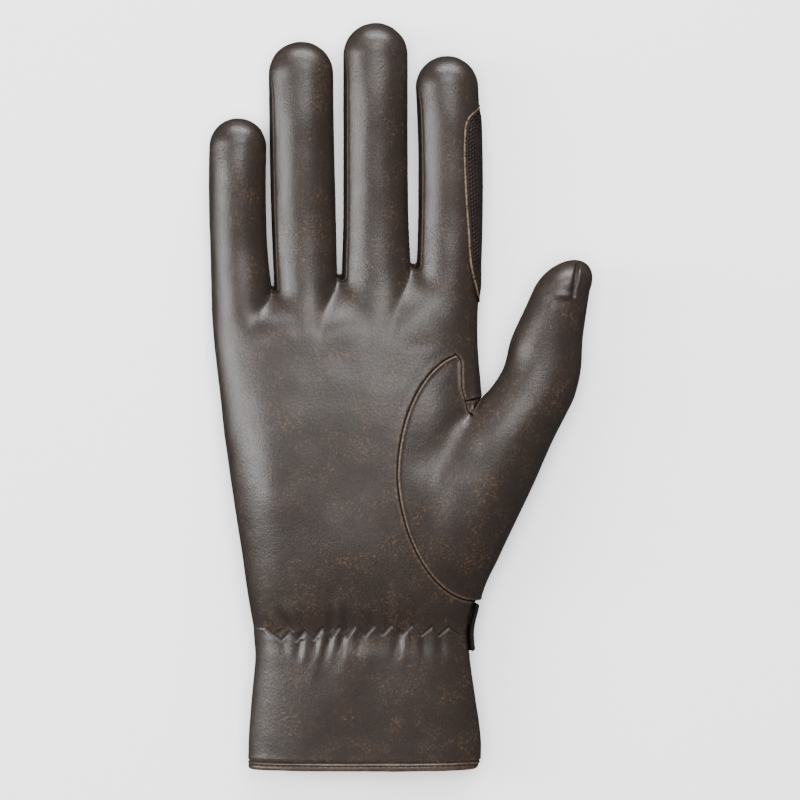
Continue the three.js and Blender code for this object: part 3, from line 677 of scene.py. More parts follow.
        z = FINGER.read("middle", shaft) * self.finger_depth
        z = z + reach * signed_power(np.sin(angle), 2 / FINGER_POWER)
        return np.stack(np.broadcast_arrays(x, y, z), -1)

    def seam_angle(self, i: int, end: int, side: Side, row: Array) -> Array:
        """Angle of a finger's seam above (palm) or below (back) its side line.

        Between the fingers it tapers to nothing where the side strips end; on the outer
        edges of the hand it stays.

        Args:
            i: Finger, from the little one.
            end: 1 for its thumb side, -1 for its little-finger side.
            side: Palm or back.
            row: Rows of the finger.

        Returns:
            Signed angles.
        """
        if (i == Finger.LITTLE and end < 0) or (i == Finger.INDEX and end > 0):
            return np.full_like(row, OUTER_SEAM, dtype=float)
        start, stop = FOURCHETTE_END * SHAFT_ROWS, SHAFT_ROWS + CAP_ROWS / 2
        taper = 1 - smooth((row - start) / (stop - start))
        if side < 0:
            return -BACK_SEAM * taper
        return (FRONT_SEAM if end > 0 else FRONT_SEAM_LEFT) * taper

    def palm_seam(self, y: Array) -> Array:
        """Seam of the thumb on the palm: half an ellipse that leans to the thumb at the wrist."""
        offset = np.clip((y - self.seam_middle) / self.seam_lift, -1, 1)
        sag = np.maximum(-offset, 0) * self.seam_reach * self.seam_sag
        return self.seam_centre - self.seam_reach * np.sqrt(1 - offset * offset) + sag

    def thumb_row(self, along: Array | float) -> Array:
        """Returns the row y at a share of the thumb's length."""
        return self.thumb_root + np.asarray(along) * self.thumb_length

    def thumb_ring(self, along: Array, angle: Array) -> Array:
        """Places on the thumb's tube, a superellipse round its middle, from its outer side."""
        y = self.thumb_row(along)
        cut = self.thumb(y)
        reach = np.where(np.sin(angle) > 0, cut.rise, cut.drop)
        x = cut.centre + cut.width / 2 * signed_power(np.cos(angle), 2 / THUMB_POWER)
        z = cut.middle + reach * signed_power(np.sin(angle), 2 / THUMB_POWER)
        return np.stack(np.broadcast_arrays(x, y, z), -1)

    @property
    def quirk_x(self) -> float:
        """Where the crotch of the thumb begins, across."""
        return float(self.thumb_ring(np.array(QUIRK_ROW), np.array(RING_START))[0])

    def fin_edge(self, y: Array) -> Array:
        """Right edge of the fin.

        Its lowest few millimetres turn into the crotch along a quarter ellipse, and its
        highest ones turn in to the rounded tip.
        """
        low, high = self.thumb_row(QUIRK_ROW), self.knuckle_line
        bottom = np.clip((y - low) / self.fin_turn, 0, 1)
        along = (np.maximum(y, low + self.fin_turn) - self.thumb_root) / self.thumb_length
        edge = self.hand_side + FIN.read("edge", along) * self.thumb_spread
        edge = edge - self.fin_tip * (1 - rolled(high - y, self.fin_turn))
        return mix(self.quirk_x, edge, np.sqrt(1 - (1 - bottom) ** 2))

    def back_seam(self, y: Array) -> Array:
        """Seam of the thumb on the back: a line with a shallow bow, in from the edge."""
        root, end = self.thumb_root, self.thumb_row(QUIRK_ROW)
        share = np.clip((y - root) / (end - root), 0, 1)
        start = self.thumb(np.array(root)).right
        bow = self.seam_reach * self.seam_bow * np.sin(np.pi * share)
        return mix(start, self.quirk_x, share) - bow

    def crotch_curve(self, turn: Array, front: bool) -> Array:
        """Edge of the thumb's crotch from its side (turn 0) to its middle (turn 1)."""
        along = mix(QUIRK_ROW, CROTCH_ROW, quarter_rise(turn))
        angle = mix(RING_START, np.pi, turn)
        ring = self.thumb_ring(along, angle if front else -angle)
        side = Side.PALM if front else Side.BACK
        ring[..., 2] = self.height(ring[..., 0], ring[..., 1], side)
        return ring


@dataclass
class Surface:
    """Welded surface of quads, in millimetres."""

    points: Array
    faces: Array

    @classmethod
    def from_grids(cls, *grids: Array, flip: bool = False) -> "Surface":
        """Joins grids of places, welds those that coincide and drops faces without area.

        Args:
            grids: Arrays of rows, columns and three coordinates.
            flip: True where rows and columns turn the other way.

        Returns:
            The surface. A face with a repeated corner stands for a triangle.
        """
        points, faces, base = [], [], 0
        for grid in grids:
            rows, columns = grid.shape[:2]
            ids = base + np.arange(rows * columns).reshape(rows, columns)
            corners = (ids[:-1, :-1], ids[:-1, 1:], ids[1:, 1:], ids[1:, :-1])
            faces.append(np.stack(corners, -1).reshape(-1, 4))
            points.append(grid.reshape(-1, 3))
            base += rows * columns
        points, faces = np.concatenate(points), np.concatenate(faces)
        keys = np.round(points * 500).astype(np.int64)
        _, first, place = np.unique(keys, axis=0, return_index=True, return_inverse=True)
        faces = place.reshape(-1)[faces]
        if flip:
            faces = faces[:, ::-1]
        distinct = (faces != np.roll(faces, -1, axis=1)).sum(axis=1)
        return cls(points[first], faces[distinct >= 3])

    @classmethod
    def joined(cls, *parts: "Surface") -> "Surface":
        """Returns one surface of several that stay separate."""
        starts = np.cumsum([0] + [len(part.points) for part in parts[:-1]])
        faces = [part.faces + start for part, start in zip(parts, starts)]
        return cls(np.concatenate([part.points for part in parts]), np.concatenate(faces))

    def normals(self) -> Array:
        """Returns unit normals at the points: the sum of the crossed diagonals of their faces."""
        a, b, c, d = (self.points[self.faces[:, i]] for i in range(4))
        normal = np.cross(c - a, d - b)
        total = np.zeros_like(self.points)
        for i in range(4):
            np.add.at(total, self.faces[:, i], normal)
        return unit(total)

    def border(self) -> Array:
        """Returns the edges that only one face uses, as pairs of points."""
        edges = np.stack((self.faces, np.roll(self.faces, -1, axis=1)), -1).reshape(-1, 2)
        edges = edges[edges[:, 0] != edges[:, 1]]
        pairs, count = np.unique(np.sort(edges, axis=1), axis=0, return_counts=True)
        return self.points[pairs[count == 1]]

    def inset(self) -> tuple[Array, Array]:
        """Returns the points' distances from the border, and the nearest places on it."""
        return self.near(self.border())

    def lifted(self, lift: Array) -> "Surface":
        """Returns the surface moved out along its normals, and kept just above the floor."""
        points = self.points + self.normals() * lift[:, None]
        points[:, 2] = np.maximum(points[:, 2], FLOOR_GAP)
        return Surface(points, self.faces)

    def facing_up(self, blend: float) -> Array:
        """Returns 1 where the surface faces up and 0 where it faces down, blended between."""
        return smooth((self.normals()[:, 2] - 0.05) / blend)

    def beside(self, line: Array) -> Array:
        """Returns the points' distances from a line of (x, y) places, all seen from above."""
        flat = Surface(self.points * (1, 1, 0), self.faces)
        line = np.column_stack((line, np.zeros(len(line))))
        return flat.near(np.stack((line[:-1], line[1:]), 1))[0]

    def near(self, segments: Array, block: int = 1500) -> tuple[Array, Array]:
        """Nearest place on a set of line segments, for every point.

        A point is dropped square onto each segment, no further than its ends, and the
        nearest foot is kept.

        Args:
            segments: Pairs of ends.
            block: Points worked out at a time.

        Returns:
            Distances, and the places on the segments.
        """
        start = segments[:, 0].astype(np.float32)
        run = (segments[:, 1] - segments[:, 0]).astype(np.float32)
        length = np.maximum((run * run).sum(-1), 1e-9)
        distance = np.empty(len(self.points))
        foot = np.empty_like(self.points)
        for first in range(0, len(self.points), block):
            part = self.points[first : first + block].astype(np.float32)
            share = (part @ run.T - (start * run).sum(-1)) / length
            share = np.clip(share, 0, 1)
            squares = np.zeros_like(share)
            for axis in range(3):
                gap = part[:, axis, None] - start[:, axis] - share * run[:, axis]
                squares += gap * gap
            best = squares.argmin(axis=1)
            rows = np.arange(len(part))
            distance[first : first + block] = np.sqrt(squares[rows, best])
            foot[first : first + block] = start[best] + share[rows, best, None] * run[best]
        return distance, foot

    def height_at(self, x: Array, y: Array) -> tuple[Array, Array]:
        """Height and normal of the upper side at places, averaged over the nearest points.

        Args:
            x: Places across.
            y: Places along.

        Returns:
            Heights, and unit normals.
        """
        normals = self.normals()
        upper = np.flatnonzero(normals[:, 2] > 0.05)
        inside = np.abs(self.points[upper, 1] - y.mean()) < np.ptp(y) / 2 + 3
        upper = upper[inside]
        gap = self.points[upper][None, :, :2] - np.stack((x, y), -1)[:, None]
        squares = (gap**2).sum(-1)
        nearest = np.argpartition(squares, 4, axis=1)[:, :4]
        weight = 1 / (np.take_along_axis(squares, nearest, 1) + 1e-4)
        weight /= weight.sum(axis=1, keepdims=True)
        z = (self.points[upper][nearest, 2] * weight).sum(1)
        return z, unit((normals[upper][nearest] * weight[..., None]).sum(1))

    def build(self, name: str, **values: Array) -> bpy.types.Object:
        """Makes the Blender object, smooth shaded, in metres.

        Args:
            name: Its name.
            values: Number for each point, kept as an attribute of that name.

        Returns:
            The object.
        """
        keep = self.faces != np.roll(self.faces, -1, axis=1)
        starts = np.concatenate(([0], np.cumsum(keep.sum(axis=1))[:-1]))
        mesh = bpy.data.meshes.new(name)
        mesh.vertices.add(len(self.points))
        mesh.vertices.foreach_set("co", (self.points * MM).ravel())
        mesh.loops.add(int(keep.sum()))
        mesh.loops.foreach_set("vertex_index", self.faces[keep].astype(np.int32))
        mesh.polygons.add(len(self.faces))
        mesh.polygons.foreach_set("loop_start", starts.astype(np.int32))
        mesh.update(calc_edges=True)
        mesh.validate()
        mesh.shade_smooth()
        for key, numbers in values.items():
            layer = mesh.attributes.new(key, "FLOAT", "POINT")
            layer.data.foreach_set("value", np.asarray(numbers, dtype=np.float32))
        piece = bpy.data.objects.new(name, mesh)
        bpy.context.scene.collection.objects.link(piece)
        return piece


@dataclass(frozen=True)
class SeamEdge:
    """How leather turns in at a seam, in millimetres."""

    depth: float = 0.75
    width: float = 0.75
    swell: float = 0.1
    swell_reach: float = 1.2
    pucker: float = 0.09
    pucker_pitch: float = 3.2
    pucker_fine: float = 0.45
    pucker_reach: float = 3.0
    # Width of the painted shade in the seam's groove
    shade_width: float = 0.32
    # Lighter rolled edge beside the seam: wear, and a painted highlight where it catches the light
    wear_and_highlight: float = 0.25
    wear_and_highlight_place: float = 0.8
    wear_and_highlight_width: float = 0.5

    def lift(self, distance: Array, foot: Array) -> Array:
        """Height of the leather near its seam.

        The edge drops along a quarter circle stretched to depth and width, a soft swell
        stands before it, and small puckers run square to it and fade with distance.

        Args:
            distance: From the seam.
            foot: Nearest places on the seam.

        Returns:
            Offsets along the surface's normals.
        """
        drop = self.depth * (1 - rolled(distance, self.width))
        swell = self.swell * bell(distance - self.width, self.swell_reach)
        fine = lattice_noise(foot, self.pucker_pitch * self.pucker_fine, 5)
        ripple = lattice_noise(foot, self.pucker_pitch, 3) + 0.5 * fine
        return swell - drop + self.pucker * ripple * np.exp(-distance / self.pucker_reach)

    def marks(self, distance: Array) -> dict[str, Array]:
        """Returns the painted shade in the seam's groove, and the lighter rolled edge beside it,
        which is wear and a painted highlight.
        """
        worn_and_lit = bell(distance - self.width * self.wear_and_highlight_place, self.width * self.wear_and_highlight_width)
        return {"seam": bell(distance, self.shade_width), "wear_and_highlight": self.wear_and_highlight * worn_and_lit}


class Graph:
    """Material whose nodes are added and joined by short calls."""

    def __init__(self, name: str) -> None:
        """Makes the material with its shader and output."""
        self.material = bpy.data.materials.new(name)
        self.material.use_nodes = True
        self.tree = self.material.node_tree
        self.shader = self.tree.nodes["Principled BSDF"]

    def add(self, kind: str, settings: dict | None = None, **inputs: object) -> bpy.types.Node:
        """Adds a node.

        Args:
            kind: Its type, without the leading ShaderNode.
            settings: Properties to set on it.
            inputs: Values or sockets for its inputs, by name with _ for a space, or by in_
                and a number.

        Returns:
            The node.
        """
        node = self.tree.nodes.new("ShaderNode" + kind)
        for key, value in (settings or {}).items():
            setattr(node, key, value)
        for key, value in inputs.items():
            number = key[3:] if key.startswith("in_") else ""
            socket = node.inputs[int(number)] if number else node.inputs[key.replace("_", " ")]
            self.feed(socket, value)
        return node

    def feed(self, socket: bpy.types.NodeSocket, value: object) -> None:
        """Links a socket to another, or sets its value."""
        if isinstance(value, bpy.types.NodeSocket):
            self.tree.links.new(value, socket)
        else:
            socket.default_value = value

    def noise(self, coords: object, size: float, detail: float, rough: float = 0.55) -> object:
        """Returns a noise whose features are about size millimetres wide."""
        node = self.add("TexNoise", Vector=coords, Scale=1 / (size * MM), Detail=detail)
        node.inputs["Roughness"].default_value = rough
        return node.outputs["Fac"]

    def spread(self, value: object, low: float, high: float, out: tuple = (0.0, 1.0)) -> object:
        """Returns a value stretched from low..high to the range out, along a smooth curve."""
        node = self.add("MapRange", {"interpolation_type": "SMOOTHSTEP"}, Value=value)
        for key, number in zip(("From Min", "From Max", "To Min", "To Max"), (low, high, *out)):
            node.inputs[key].default_value = number
        return node.outputs["Result"]

    def maths(self, operation: str, a: object, b: object) -> object:
        """Returns the result of a calculation with two numbers."""
        return self.add("Math", {"operation": operation}, in_0=a, in_1=b).outputs[0]

    def blend(self, share: object, a: object, b: object) -> object:
        """Returns the colour a share of the way from a to b."""
        node = self.add("Mix", {"data_type": "RGBA"}, in_0=share, in_6=a, in_7=b)
        return node.outputs[2]


def tint(colour: tuple[int, int, int], share: float = 1.0) -> tuple[float, float, float, float]:
    """Returns a share of a colour picker's colour, as linear light by the sRGB curve."""
    light = [((v / 255 + 0.055) / 1.055) ** 2.4 if v > 10 else v / 3294 for v in colour]
    return (*(v * share for v in light), 1.0)


@dataclass(frozen=True)
class LeatherFinish:
    """Waxed and rubbed glove leather with a fine grain."""

    name: str
    base: tuple[int, int, int] = (34, 28, 25)
    shade: tuple[int, int, int] = (34, 28, 25)
    rub: tuple[int, int, int] = (86, 64, 43)
    # Colour of the rolled edges beside seams: wear, and a painted highlight
    edge: tuple[int, int, int] = (106, 85, 66)
    rough: float = 0.39
    gloss: float = 0.56
    rub_share: float = 0.55
    cloud_size: float = 30.0
    patch_size: float = 8.0
    fleck_size: float = 0.9
    speck_size: float = 0.45
    cell_size: float = 0.8
    fine_size: float = 0.4
    crease_size: float = 2.2
    grain_depth: float = 0.055

    def material(self) -> bpy.types.Material:
        """Builds the leather.

        Colour goes from shade to base with cloudy noise, takes on the rub colour in small
        flecks, takes painted shade in the seams' grooves and lightens on the rolled edges beside
        them, which is wear and a painted highlight, by two attributes.
        Small cells, pores and fine creases make the grain, and the gloss changes with the
        clouds.

        Returns:
            The material.
        """
        g = Graph(self.name)
        at = g.add("TexCoord").outputs["Object"]
        cloud = g.noise(at, self.cloud_size, 2.0)
        patch = g.noise(at, self.patch_size, 4.0, 0.6)
        fleck = g.noise(at, self.fleck_size, 4.0, 0.75)
        speck = g.noise(at, self.speck_size, 2.0, 0.6)
        # seam: painted shade in the grooves of seams, sewn lines, slit and holes
        seam = g.add("Attribute", {"attribute_name": "seam"}).outputs["Fac"]
        wear_and_highlight = g.add("Attribute", {"attribute_name": "wear_and_highlight"}).outputs["Fac"]
        depth = g.maths("ADD", g.maths("MULTIPLY", cloud, 0.5), g.maths("MULTIPLY", patch, 0.5))
        colour = g.blend(g.spread(depth, 0.36, 0.62), tint(self.shade), tint(self.base))
        rubbed = g.maths("MULTIPLY", g.spread(fleck, 0.5, 0.68), g.spread(patch, 0.4, 0.66))
        rubbed = g.maths("MULTIPLY", rubbed, self.rub_share)
        colour = g.blend(rubbed, colour, tint(self.rub))
        dark = tint(self.shade, 0.4)
        colour = g.blend(g.spread(speck, 0.52, 0.34, (0.0, 0.5)), colour, dark)
        # Rolled edges take the edge colour: wear, and a painted highlight where they catch the
        # light
        worn_and_lit = g.maths("MULTIPLY", wear_and_highlight, g.spread(fleck, 0.35, 0.6))
        colour = g.blend(worn_and_lit, colour, tint(self.edge))
        # Painted shade darkens the grooves
        colour = g.blend(g.spread(seam, 0.0, 1.0, (0.0, 0.95)), colour, dark)
        g.feed(g.shader.inputs["Base Color"], colour)
        haze = g.maths("MULTIPLY", g.maths("SUBTRACT", patch, 0.5), 0.2)
        dull = g.maths("ADD", haze, g.maths("MULTIPLY", seam, 0.45))
        g.feed(g.shader.inputs["Roughness"], g.maths("ADD", dull, self.rough))
        g.shader.inputs["Specular IOR Level"].default_value = self.gloss
        scale = 1 / (self.cell_size * MM)
        cells = g.add("TexVoronoi", {"feature": "SMOOTH_F1"}, Vector=at, Scale=scale)
        pore = g.spread(cells.outputs["Distance"], 0.15, 0.75)
        fine = g.noise(at, self.fine_size, 3.0, 0.65)
        crease = g.noise(at, self.crease_size, 4.0, 0.6)
        relief = g.maths("ADD", g.maths("MULTIPLY", pore, -0.5), g.maths("MULTIPLY", fine, 0.9))
        relief = g.maths("ADD", relief, g.maths("MULTIPLY", crease, 0.45))
        bump = g.add("Bump", Height=relief, Strength=0.7, Distance=self.grain_depth * MM)
        g.feed(g.shader.inputs["Normal"], bump.outputs["Normal"])
        return g.material


@dataclass(frozen=True)
class ThreadFinish:
    """Twisted sewing thread."""

    name: str = "thread"
    colour: tuple[int, int, int] = (20, 16, 14)
    ply_size: float = 0.35
    ply_depth: float = 0.06

    def material(self) -> bpy.types.Material:
        """Builds the thread: two tones in fine bands, with a soft gloss."""
        g = Graph(self.name)
        at = g.add("TexCoord").outputs["Object"]
        ply = g.noise(at, self.ply_size, 2.0)
        colour = g.blend(ply, tint(self.colour, 0.5), tint(self.colour))
        g.feed(g.shader.inputs["Base Color"], colour)
        g.shader.inputs["Roughness"].default_value = 0.6
        bump = g.add("Bump", Height=ply, Strength=0.6, Distance=self.ply_depth * MM)
        g.feed(g.shader.inputs["Normal"], bump.outputs["Normal"])
        return g.material


@dataclass(frozen=True)
class FloorFinish:
    """Matt white studio floor."""

    name: str = "studio_floor"
    colour: tuple[int, int, int] = (238, 238, 238)

    def material(self) -> bpy.types.Material:
        """Builds the floor's even matt white."""
        g = Graph(self.name)
        g.shader.inputs["Base Color"].default_value = tint(self.colour)
        g.shader.inputs["Roughness"].default_value = 0.9
        g.shader.inputs["Specular IOR Level"].default_value = 0.1
        return g.material


GLOVE_LEATHER = LeatherFinish("glove_leather")
# Darker copy of the glove leather: painted shade for the strips between the fingers, the thumb's
# crotch and the strap under the wrist
SHADED_SIDE_LEATHER = LeatherFinish(
    "side_leather", base=(29, 24, 21), shade=(20, 16, 14), rub_share=0.2, gloss=0.3
)
PATCH_LEATHER = LeatherFinish(
    "patch_leather", base=(32, 26, 23), shade=(23, 19, 17), rub_share=0.15, gloss=0.35
)
TRIM_LEATHER = LeatherFinish(
    "trim_leather", base=(50, 40, 34), shade=(35, 28, 24), rub_share=0.7
)


@dataclass
class Piece(ABC):
    """One sewn piece of the glove."""

    hand: HandForm
    name: str = ""
    nodes: tuple[str, ...] = ()
    slot: Slot = Slot.GLOVE
    finish: LeatherFinish | ThreadFinish = GLOVE_LEATHER
    edge: SeamEdge = SeamEdge()
    relief: float = 0.22
    slack_reach: float = 6.0
    slack_size: float = 17.0
    slack_fine: float = 7.0
    surface: Surface | None = None

    @abstractmethod
    def shape(self) -> Surface:
        """Works out the piece's plain surface."""

    def dress(self, surface: Surface) -> tuple[Surface, dict[str, Array]]:
        """Turns the leather in at its seams and gives it slack.

        The slack is two sizes of noise along the normals.

        Args:
            surface: Plain surface.

        Returns:
            The dressed surface, and its attributes.
        """
        distance, foot = surface.inset()
        slack = lattice_noise(surface.points, self.slack_size, 1)
        slack = slack + 0.45 * lattice_noise(surface.points, self.slack_fine, 2)
        away = smooth(distance / self.slack_reach)
        lift = self.edge.lift(distance, foot) + self.relief * slack * away
        values = self.edge.marks(distance)
        values["seam"] = np.maximum(values["seam"], self.lines(surface))
        return surface.lifted(lift + self.folds(surface)), values

    def lines(self, surface: Surface) -> Array:
        """Returns the painted shade in the piece's own sewn lines."""
        return np.zeros(len(surface.points))

    def folds(self, surface: Surface) -> Array:
        """Returns the offsets of the piece's own folds."""
        return np.zeros(len(surface.points))

    def build(self, materials: dict[str, bpy.types.Material]) -> bpy.types.Object:
        """Makes the finished object and puts it in place of its CAD nodes.

        Args:
            materials: Finishes made so far, by name.

        Returns:
            The object.
        """
        self.surface, values = self.dress(self.shape())
        piece = self.surface.build(self.name, **values)
        if self.finish.name not in materials:
            materials[self.finish.name] = self.finish.material()
        piece.data.materials.append(materials[self.finish.name])
        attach(piece, "root")
        if self.nodes:
            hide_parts(*self.nodes)
        counts = len(self.surface.points), len(self.surface.faces)
        log.info("%s: %d points, %d faces", self.name, *counts)
        return piece


@dataclass
class Sheet(Piece):
    """Front or back sheet with its four finger halves."""

    side: Side = Side.PALM
    finger_cells: int = 50
    web_cells: int = 8
    finger_rows: int = 84
    tip_rows: int = 18
    knuckle_rows: int = 34
    wrist_cosine: float = 0.6
    wrist_reach: float = 60.0
    leave_step: float = 1.5
    meet_step: float = 0.25
    crotch_bend: float = 1.3
    crotch_reach: float = 9.0
    ease_reach: float = 11.0
    ease_start: float = 0.12
    ease_end: float = 0.55
    ease_rounds: int = 160
    finger: Array = field(init=False)
    web: Array = field(init=False)
    share: Array = field(init=False)
    angle: Array = field(init=False)
    fin_column: int = field(init=False)

    def columns(self) -> None:
        """Lays out the sheet's columns from the little finger to the index finger.

        A column is on a finger, at an angle round it, or in a web between two. On the palm's
        index finger one column meets the tip of the thumb's fin.
        """
        parts = []
        web = np.arange(1, self.web_cells) / self.web_cells
        for i in Finger:
            start, stop = (float(angle[0]) for angle in self.seam_ends(i, np.zeros(1)))
            share = bunched(self.finger_cells, 0.6, 0.6)
            if i == Finger.INDEX and self.side == Side.PALM:
                turn = (self.fin_angle - start) / (stop - start)
                count = round(self.finger_cells * turn)
                share = np.concatenate((
                    turn * bunched(count, 0.6, 0.6),
                    turn + (1 - turn) * bunched(self.finger_cells - count, 0.3, 0.3)[1:],
                ))
                self.fin_column = sum(len(part[0]) for part in parts) + count
            none = np.full(len(share), -1)
            parts.append((np.full_like(none, i), none, share, mix(start, stop, share)))
            if i < Finger.INDEX:
                none = np.full(len(web), -1)
                parts.append((none, np.full_like(none, i), web, np.zeros(len(web))))
        self.finger, self.web, self.share, self.angle = map(np.concatenate, zip(*parts))

    def seam_ends(self, i: int, row: Array) -> tuple[Array, Array]:
        """Returns the angles of a finger's left and right seams at some rows."""
        start = np.pi - self.hand.seam_angle(i, -1, self.side, row)
        stop = self.hand.seam_angle(i, 1, self.side, row)
        return start, stop + 2 * np.pi if self.side < 0 else stop

    @property
    def fin_angle(self) -> float:
        """Angle round the index finger of the column that meets the fin's tip."""
        left, right = self.hand.finger_left[Finger.INDEX], self.hand.finger_right[Finger.INDEX]
        place = (self.fin_share * self.whole - WEB_SPREAD) - (left - self.first)
        return float(np.arccos(2 * place / (right - left - WEB_SPREAD) - 1))

    @property
    def first(self) -> float:
        """Left edge of the little finger."""
        return float(self.hand.finger_left[0])

    @property
    def whole(self) -> float:
        """Width over the four finger bases."""
        return float(self.hand.finger_right[Finger.INDEX] - self.hand.finger_left[0])

    @property
    def fin_share(self) -> float:
        """Share of the hand's width at which the fin's tip sits on the knuckle line."""
        y = np.array(self.hand.knuckle_line)
        cut = self.hand.trunk(y)
        return float((self.hand.fin_edge(y) - cut.left) / cut.width)

    def trunk_shares(self, y: Array) -> Array:
        """Shares of the hand's width at which the columns lie, row by row.

        Near the knuckles they follow the fingers, and towards the wrist they spread along a
        cosine. A share below 0 or above 1 is round the edge, on the other face. Below the
        elastic the outer seam climbs into view.

        Args:
            y: Rows.

        Returns:
            Shares, rows by columns.
        """
        hand = self.hand
        along = (y - hand.hem_line) / hand.trunk_length
        climb = 1 - smooth((along - CUFF_SEAM_TOP) / CUFF_SEAM_RUN)
        seam = mix(OUTER_SEAM, CUFF_SEAM, climb)[:, None]
        fingers = np.arange(len(Finger))
        low = hand.finger_left + np.where(fingers > Finger.LITTLE, WEB_SPREAD, 0)
        high = hand.finger_right - np.where(fingers < Finger.INDEX, WEB_SPREAD, 0)
        place = np.where(
            self.finger >= 0,
            mix(low[self.finger], high[self.finger], (1 + np.cos(self.angle)) / 2),
            mix(high[self.web], low[np.minimum(self.web + 1, Finger.INDEX)], self.share),
        )
        shares = np.tile((place - self.first) / self.whole, (len(y), 1))
        small = self.finger == Finger.LITTLE
        stop = self.angle[small][-1]
        angle = mix(np.pi - seam, stop, self.share[small])
        place = mix(low[0], high[0], (1 + np.cos(angle)) / 2)
        other = np.sin(angle) * self.side < 0
        shares[:, small] = (place - self.first) / self.whole * np.where(other, -1, 1)
        last = (self.finger == Finger.INDEX) & (np.sin(self.angle) * self.side < 0)
        shares[:, last] = 2 - shares[:, last]
        even = np.linspace(0, 1, len(self.share))
        spread = mix(even, (1 - np.cos(np.pi * even)) / 2, self.wrist_cosine)
        wrist = mix(shares[:, :1], shares[:, -1:], spread)
        return mix(wrist, shares, smooth((y - hand.thumb_root) / self.wrist_reach)[:, None])

    def trunk_points(self, y: Array, shares: Array) -> Array:
        """Places on the hand at rows y, or a grid of rows, and shares of its width."""
        y = y if y.ndim == 2 else y[:, None]
        cut = self.hand.trunk(y)
        fold = np.where(shares < 0, -shares, np.where(shares > 1, 2 - shares, shares))
        x = cut.left + cut.width * fold
        own = self.hand.height(x, y, self.side)
        other = self.hand.height(x, y, Side(-self.side))
        z = np.where((shares < 0) | (shares > 1), other, own)
        return np.stack(np.broadcast_arrays(x, y, z), -1)

    def web_point(self, i: int, share: Array) -> Array:
        """Curve of the sheet round a crotch, a half circle drawn out from finger to finger."""
        row = np.zeros(1)
        angle = self.hand.seam_angle(i, 1, self.side, row)
        other = np.pi - self.hand.seam_angle(i + 1, -1, self.side, row)
        a = self.hand.finger_point(i, angle, row)
        b = self.hand.finger_point(i + 1, other, row)
        return around_crotch(a, b, share[:, None])

    def knuckle_grid(self) -> Array:
        """Rows from the knuckle line to the crotches.

        Each column runs along a cubic curve that leaves the palm and meets the finger in
        their own directions. Next to the webs it rises late, and rounds of averaging with
        the columns beside it ease it.

        Returns:
            Grid of places.
        """
        hand = self.hand
        line = np.array([hand.knuckle_line])
        shares = self.trunk_shares(line)
        base = self.trunk_points(line, shares)[0]
        before = self.trunk_points(line - self.leave_step, shares)[0]
        top, after = np.empty_like(base), np.empty_like(base)
        for i in Finger:
            on = self.finger == i
            top[on] = hand.finger_point(i, self.angle[on], np.zeros(1))
            after[on] = hand.finger_point(i, self.angle[on], np.full(1, self.meet_step))
            if i < Finger.INDEX:
                web = self.web == i
                top[web] = self.web_point(i, self.share[web])
                after[web] = top[web] + (0, 1, 0)
        run = (top - base)[:, 1:2]
        leave = (base - before) / self.leave_step
        meet = (after - top) / np.maximum((after - top)[:, 1:2], 1e-6)
        inner = np.where(self.finger >= 0, np.sin(np.pi * np.clip(self.share, 0, 1)), 0)[:, None]
        t = np.linspace(0, 1, self.knuckle_rows + 1)[:, None, None]
        column = np.arange(len(self.finger))
        gap = np.abs(column[:, None] - column[self.finger < 0]).min(axis=1)[:, None]
        late = smooth(t) ** (1 + self.crotch_bend * bell(gap, self.crotch_reach))
        grid = mix(base, top, smooth(t)) + (0, 0, 1) * (top - base) * (late - smooth(t))
        grid = grid + run * (leave * t * (1 - t) ** 2 - meet * inner * t * t * (1 - t))
        grid[..., 1] = mix(base[:, 1], top[:, 1], t[..., 0])
        ease = smooth(t / self.ease_start) * smooth((1 - t) / self.ease_end)
        ease = ease * bell(gap, self.ease_reach)
        for _ in range(self.ease_rounds):
            middle = (grid[:, :-2] + grid[:, 2:]) / 2
            grid[:, 1:-1] = mix(grid[:, 1:-1], middle, ease[:, 1:-1])
        return grid

    def finger_grids(self) -> list[Array]:
        """Rows of the four finger halves, up the shaft and over the tip."""
        rows = np.concatenate((
            SHAFT_ROWS * bunched(self.finger_rows, 0.4),
            SHAFT_ROWS + CAP_ROWS * np.linspace(0, 1, self.tip_rows + 1)[1:],
        ))[:, None]
        shares = [self.share[self.finger == i] for i in Finger]
        angles = [mix(*self.seam_ends(i, rows), share) for i, share in zip(Finger, shares)]
        return [self.hand.finger_point(i, angle, rows) for i, angle in zip(Finger, angles)]


def around_crotch(a: Array, b: Array, turn: Array) -> Array:
    """Places on the curve that dips a half circle's depth from a to b, at turns from 0 to 1."""
    swing = (1 - np.cos(np.pi * turn)) / 2
    place = mix(a, b, swing)
    dip = (b[..., 0] - a[..., 0]) / 2 * np.sin(np.pi * turn[..., 0])
    place[..., 1] -= dip
    return place


def fold_lift(points: Array, rows: Array) -> Array:
    """Height of a set of folds over places on the palm.

    Across its line a fold is a bell curve that widens. It is full at its first end and dies
    out towards its second.

    Args:
        points: Places.
        rows: One row a fold, with its two ends, width and height.

    Returns:
        Heights in millimetres.
    """
    total = np.zeros(len(points))
    for x0, y0, x1, y1, width, height in rows:
        run = np.array((x1 - x0, y1 - y0))
        length = np.hypot(*run)
        gap = points[:, :2] - (x0, y0)
        along = gap @ run / length**2
        across = (gap[:, 0] * run[1] - gap[:, 1] * run[0]) / length
        spread = width * (1 + FOLD_WIDENS * np.clip(along, 0, 1))
        shape = smooth((along + FOLD_LEAD) / FOLD_RISE) * smooth((FOLD_END - along) / FOLD_FADE)
        total += height * shape * bell(across, spread)
    return total


def swell_lift(points: Array, table: Profile) -> Array:
    """Returns the sum of bell-shaped swells, each round in its own measure."""
    total = np.zeros(len(points))
    for x, y, across, along, height in table.rows:
        square = ((points[:, 0] - x) / across) ** 2 + ((points[:, 1] - y) / along) ** 2
        total += height * np.exp(-square)
    return total


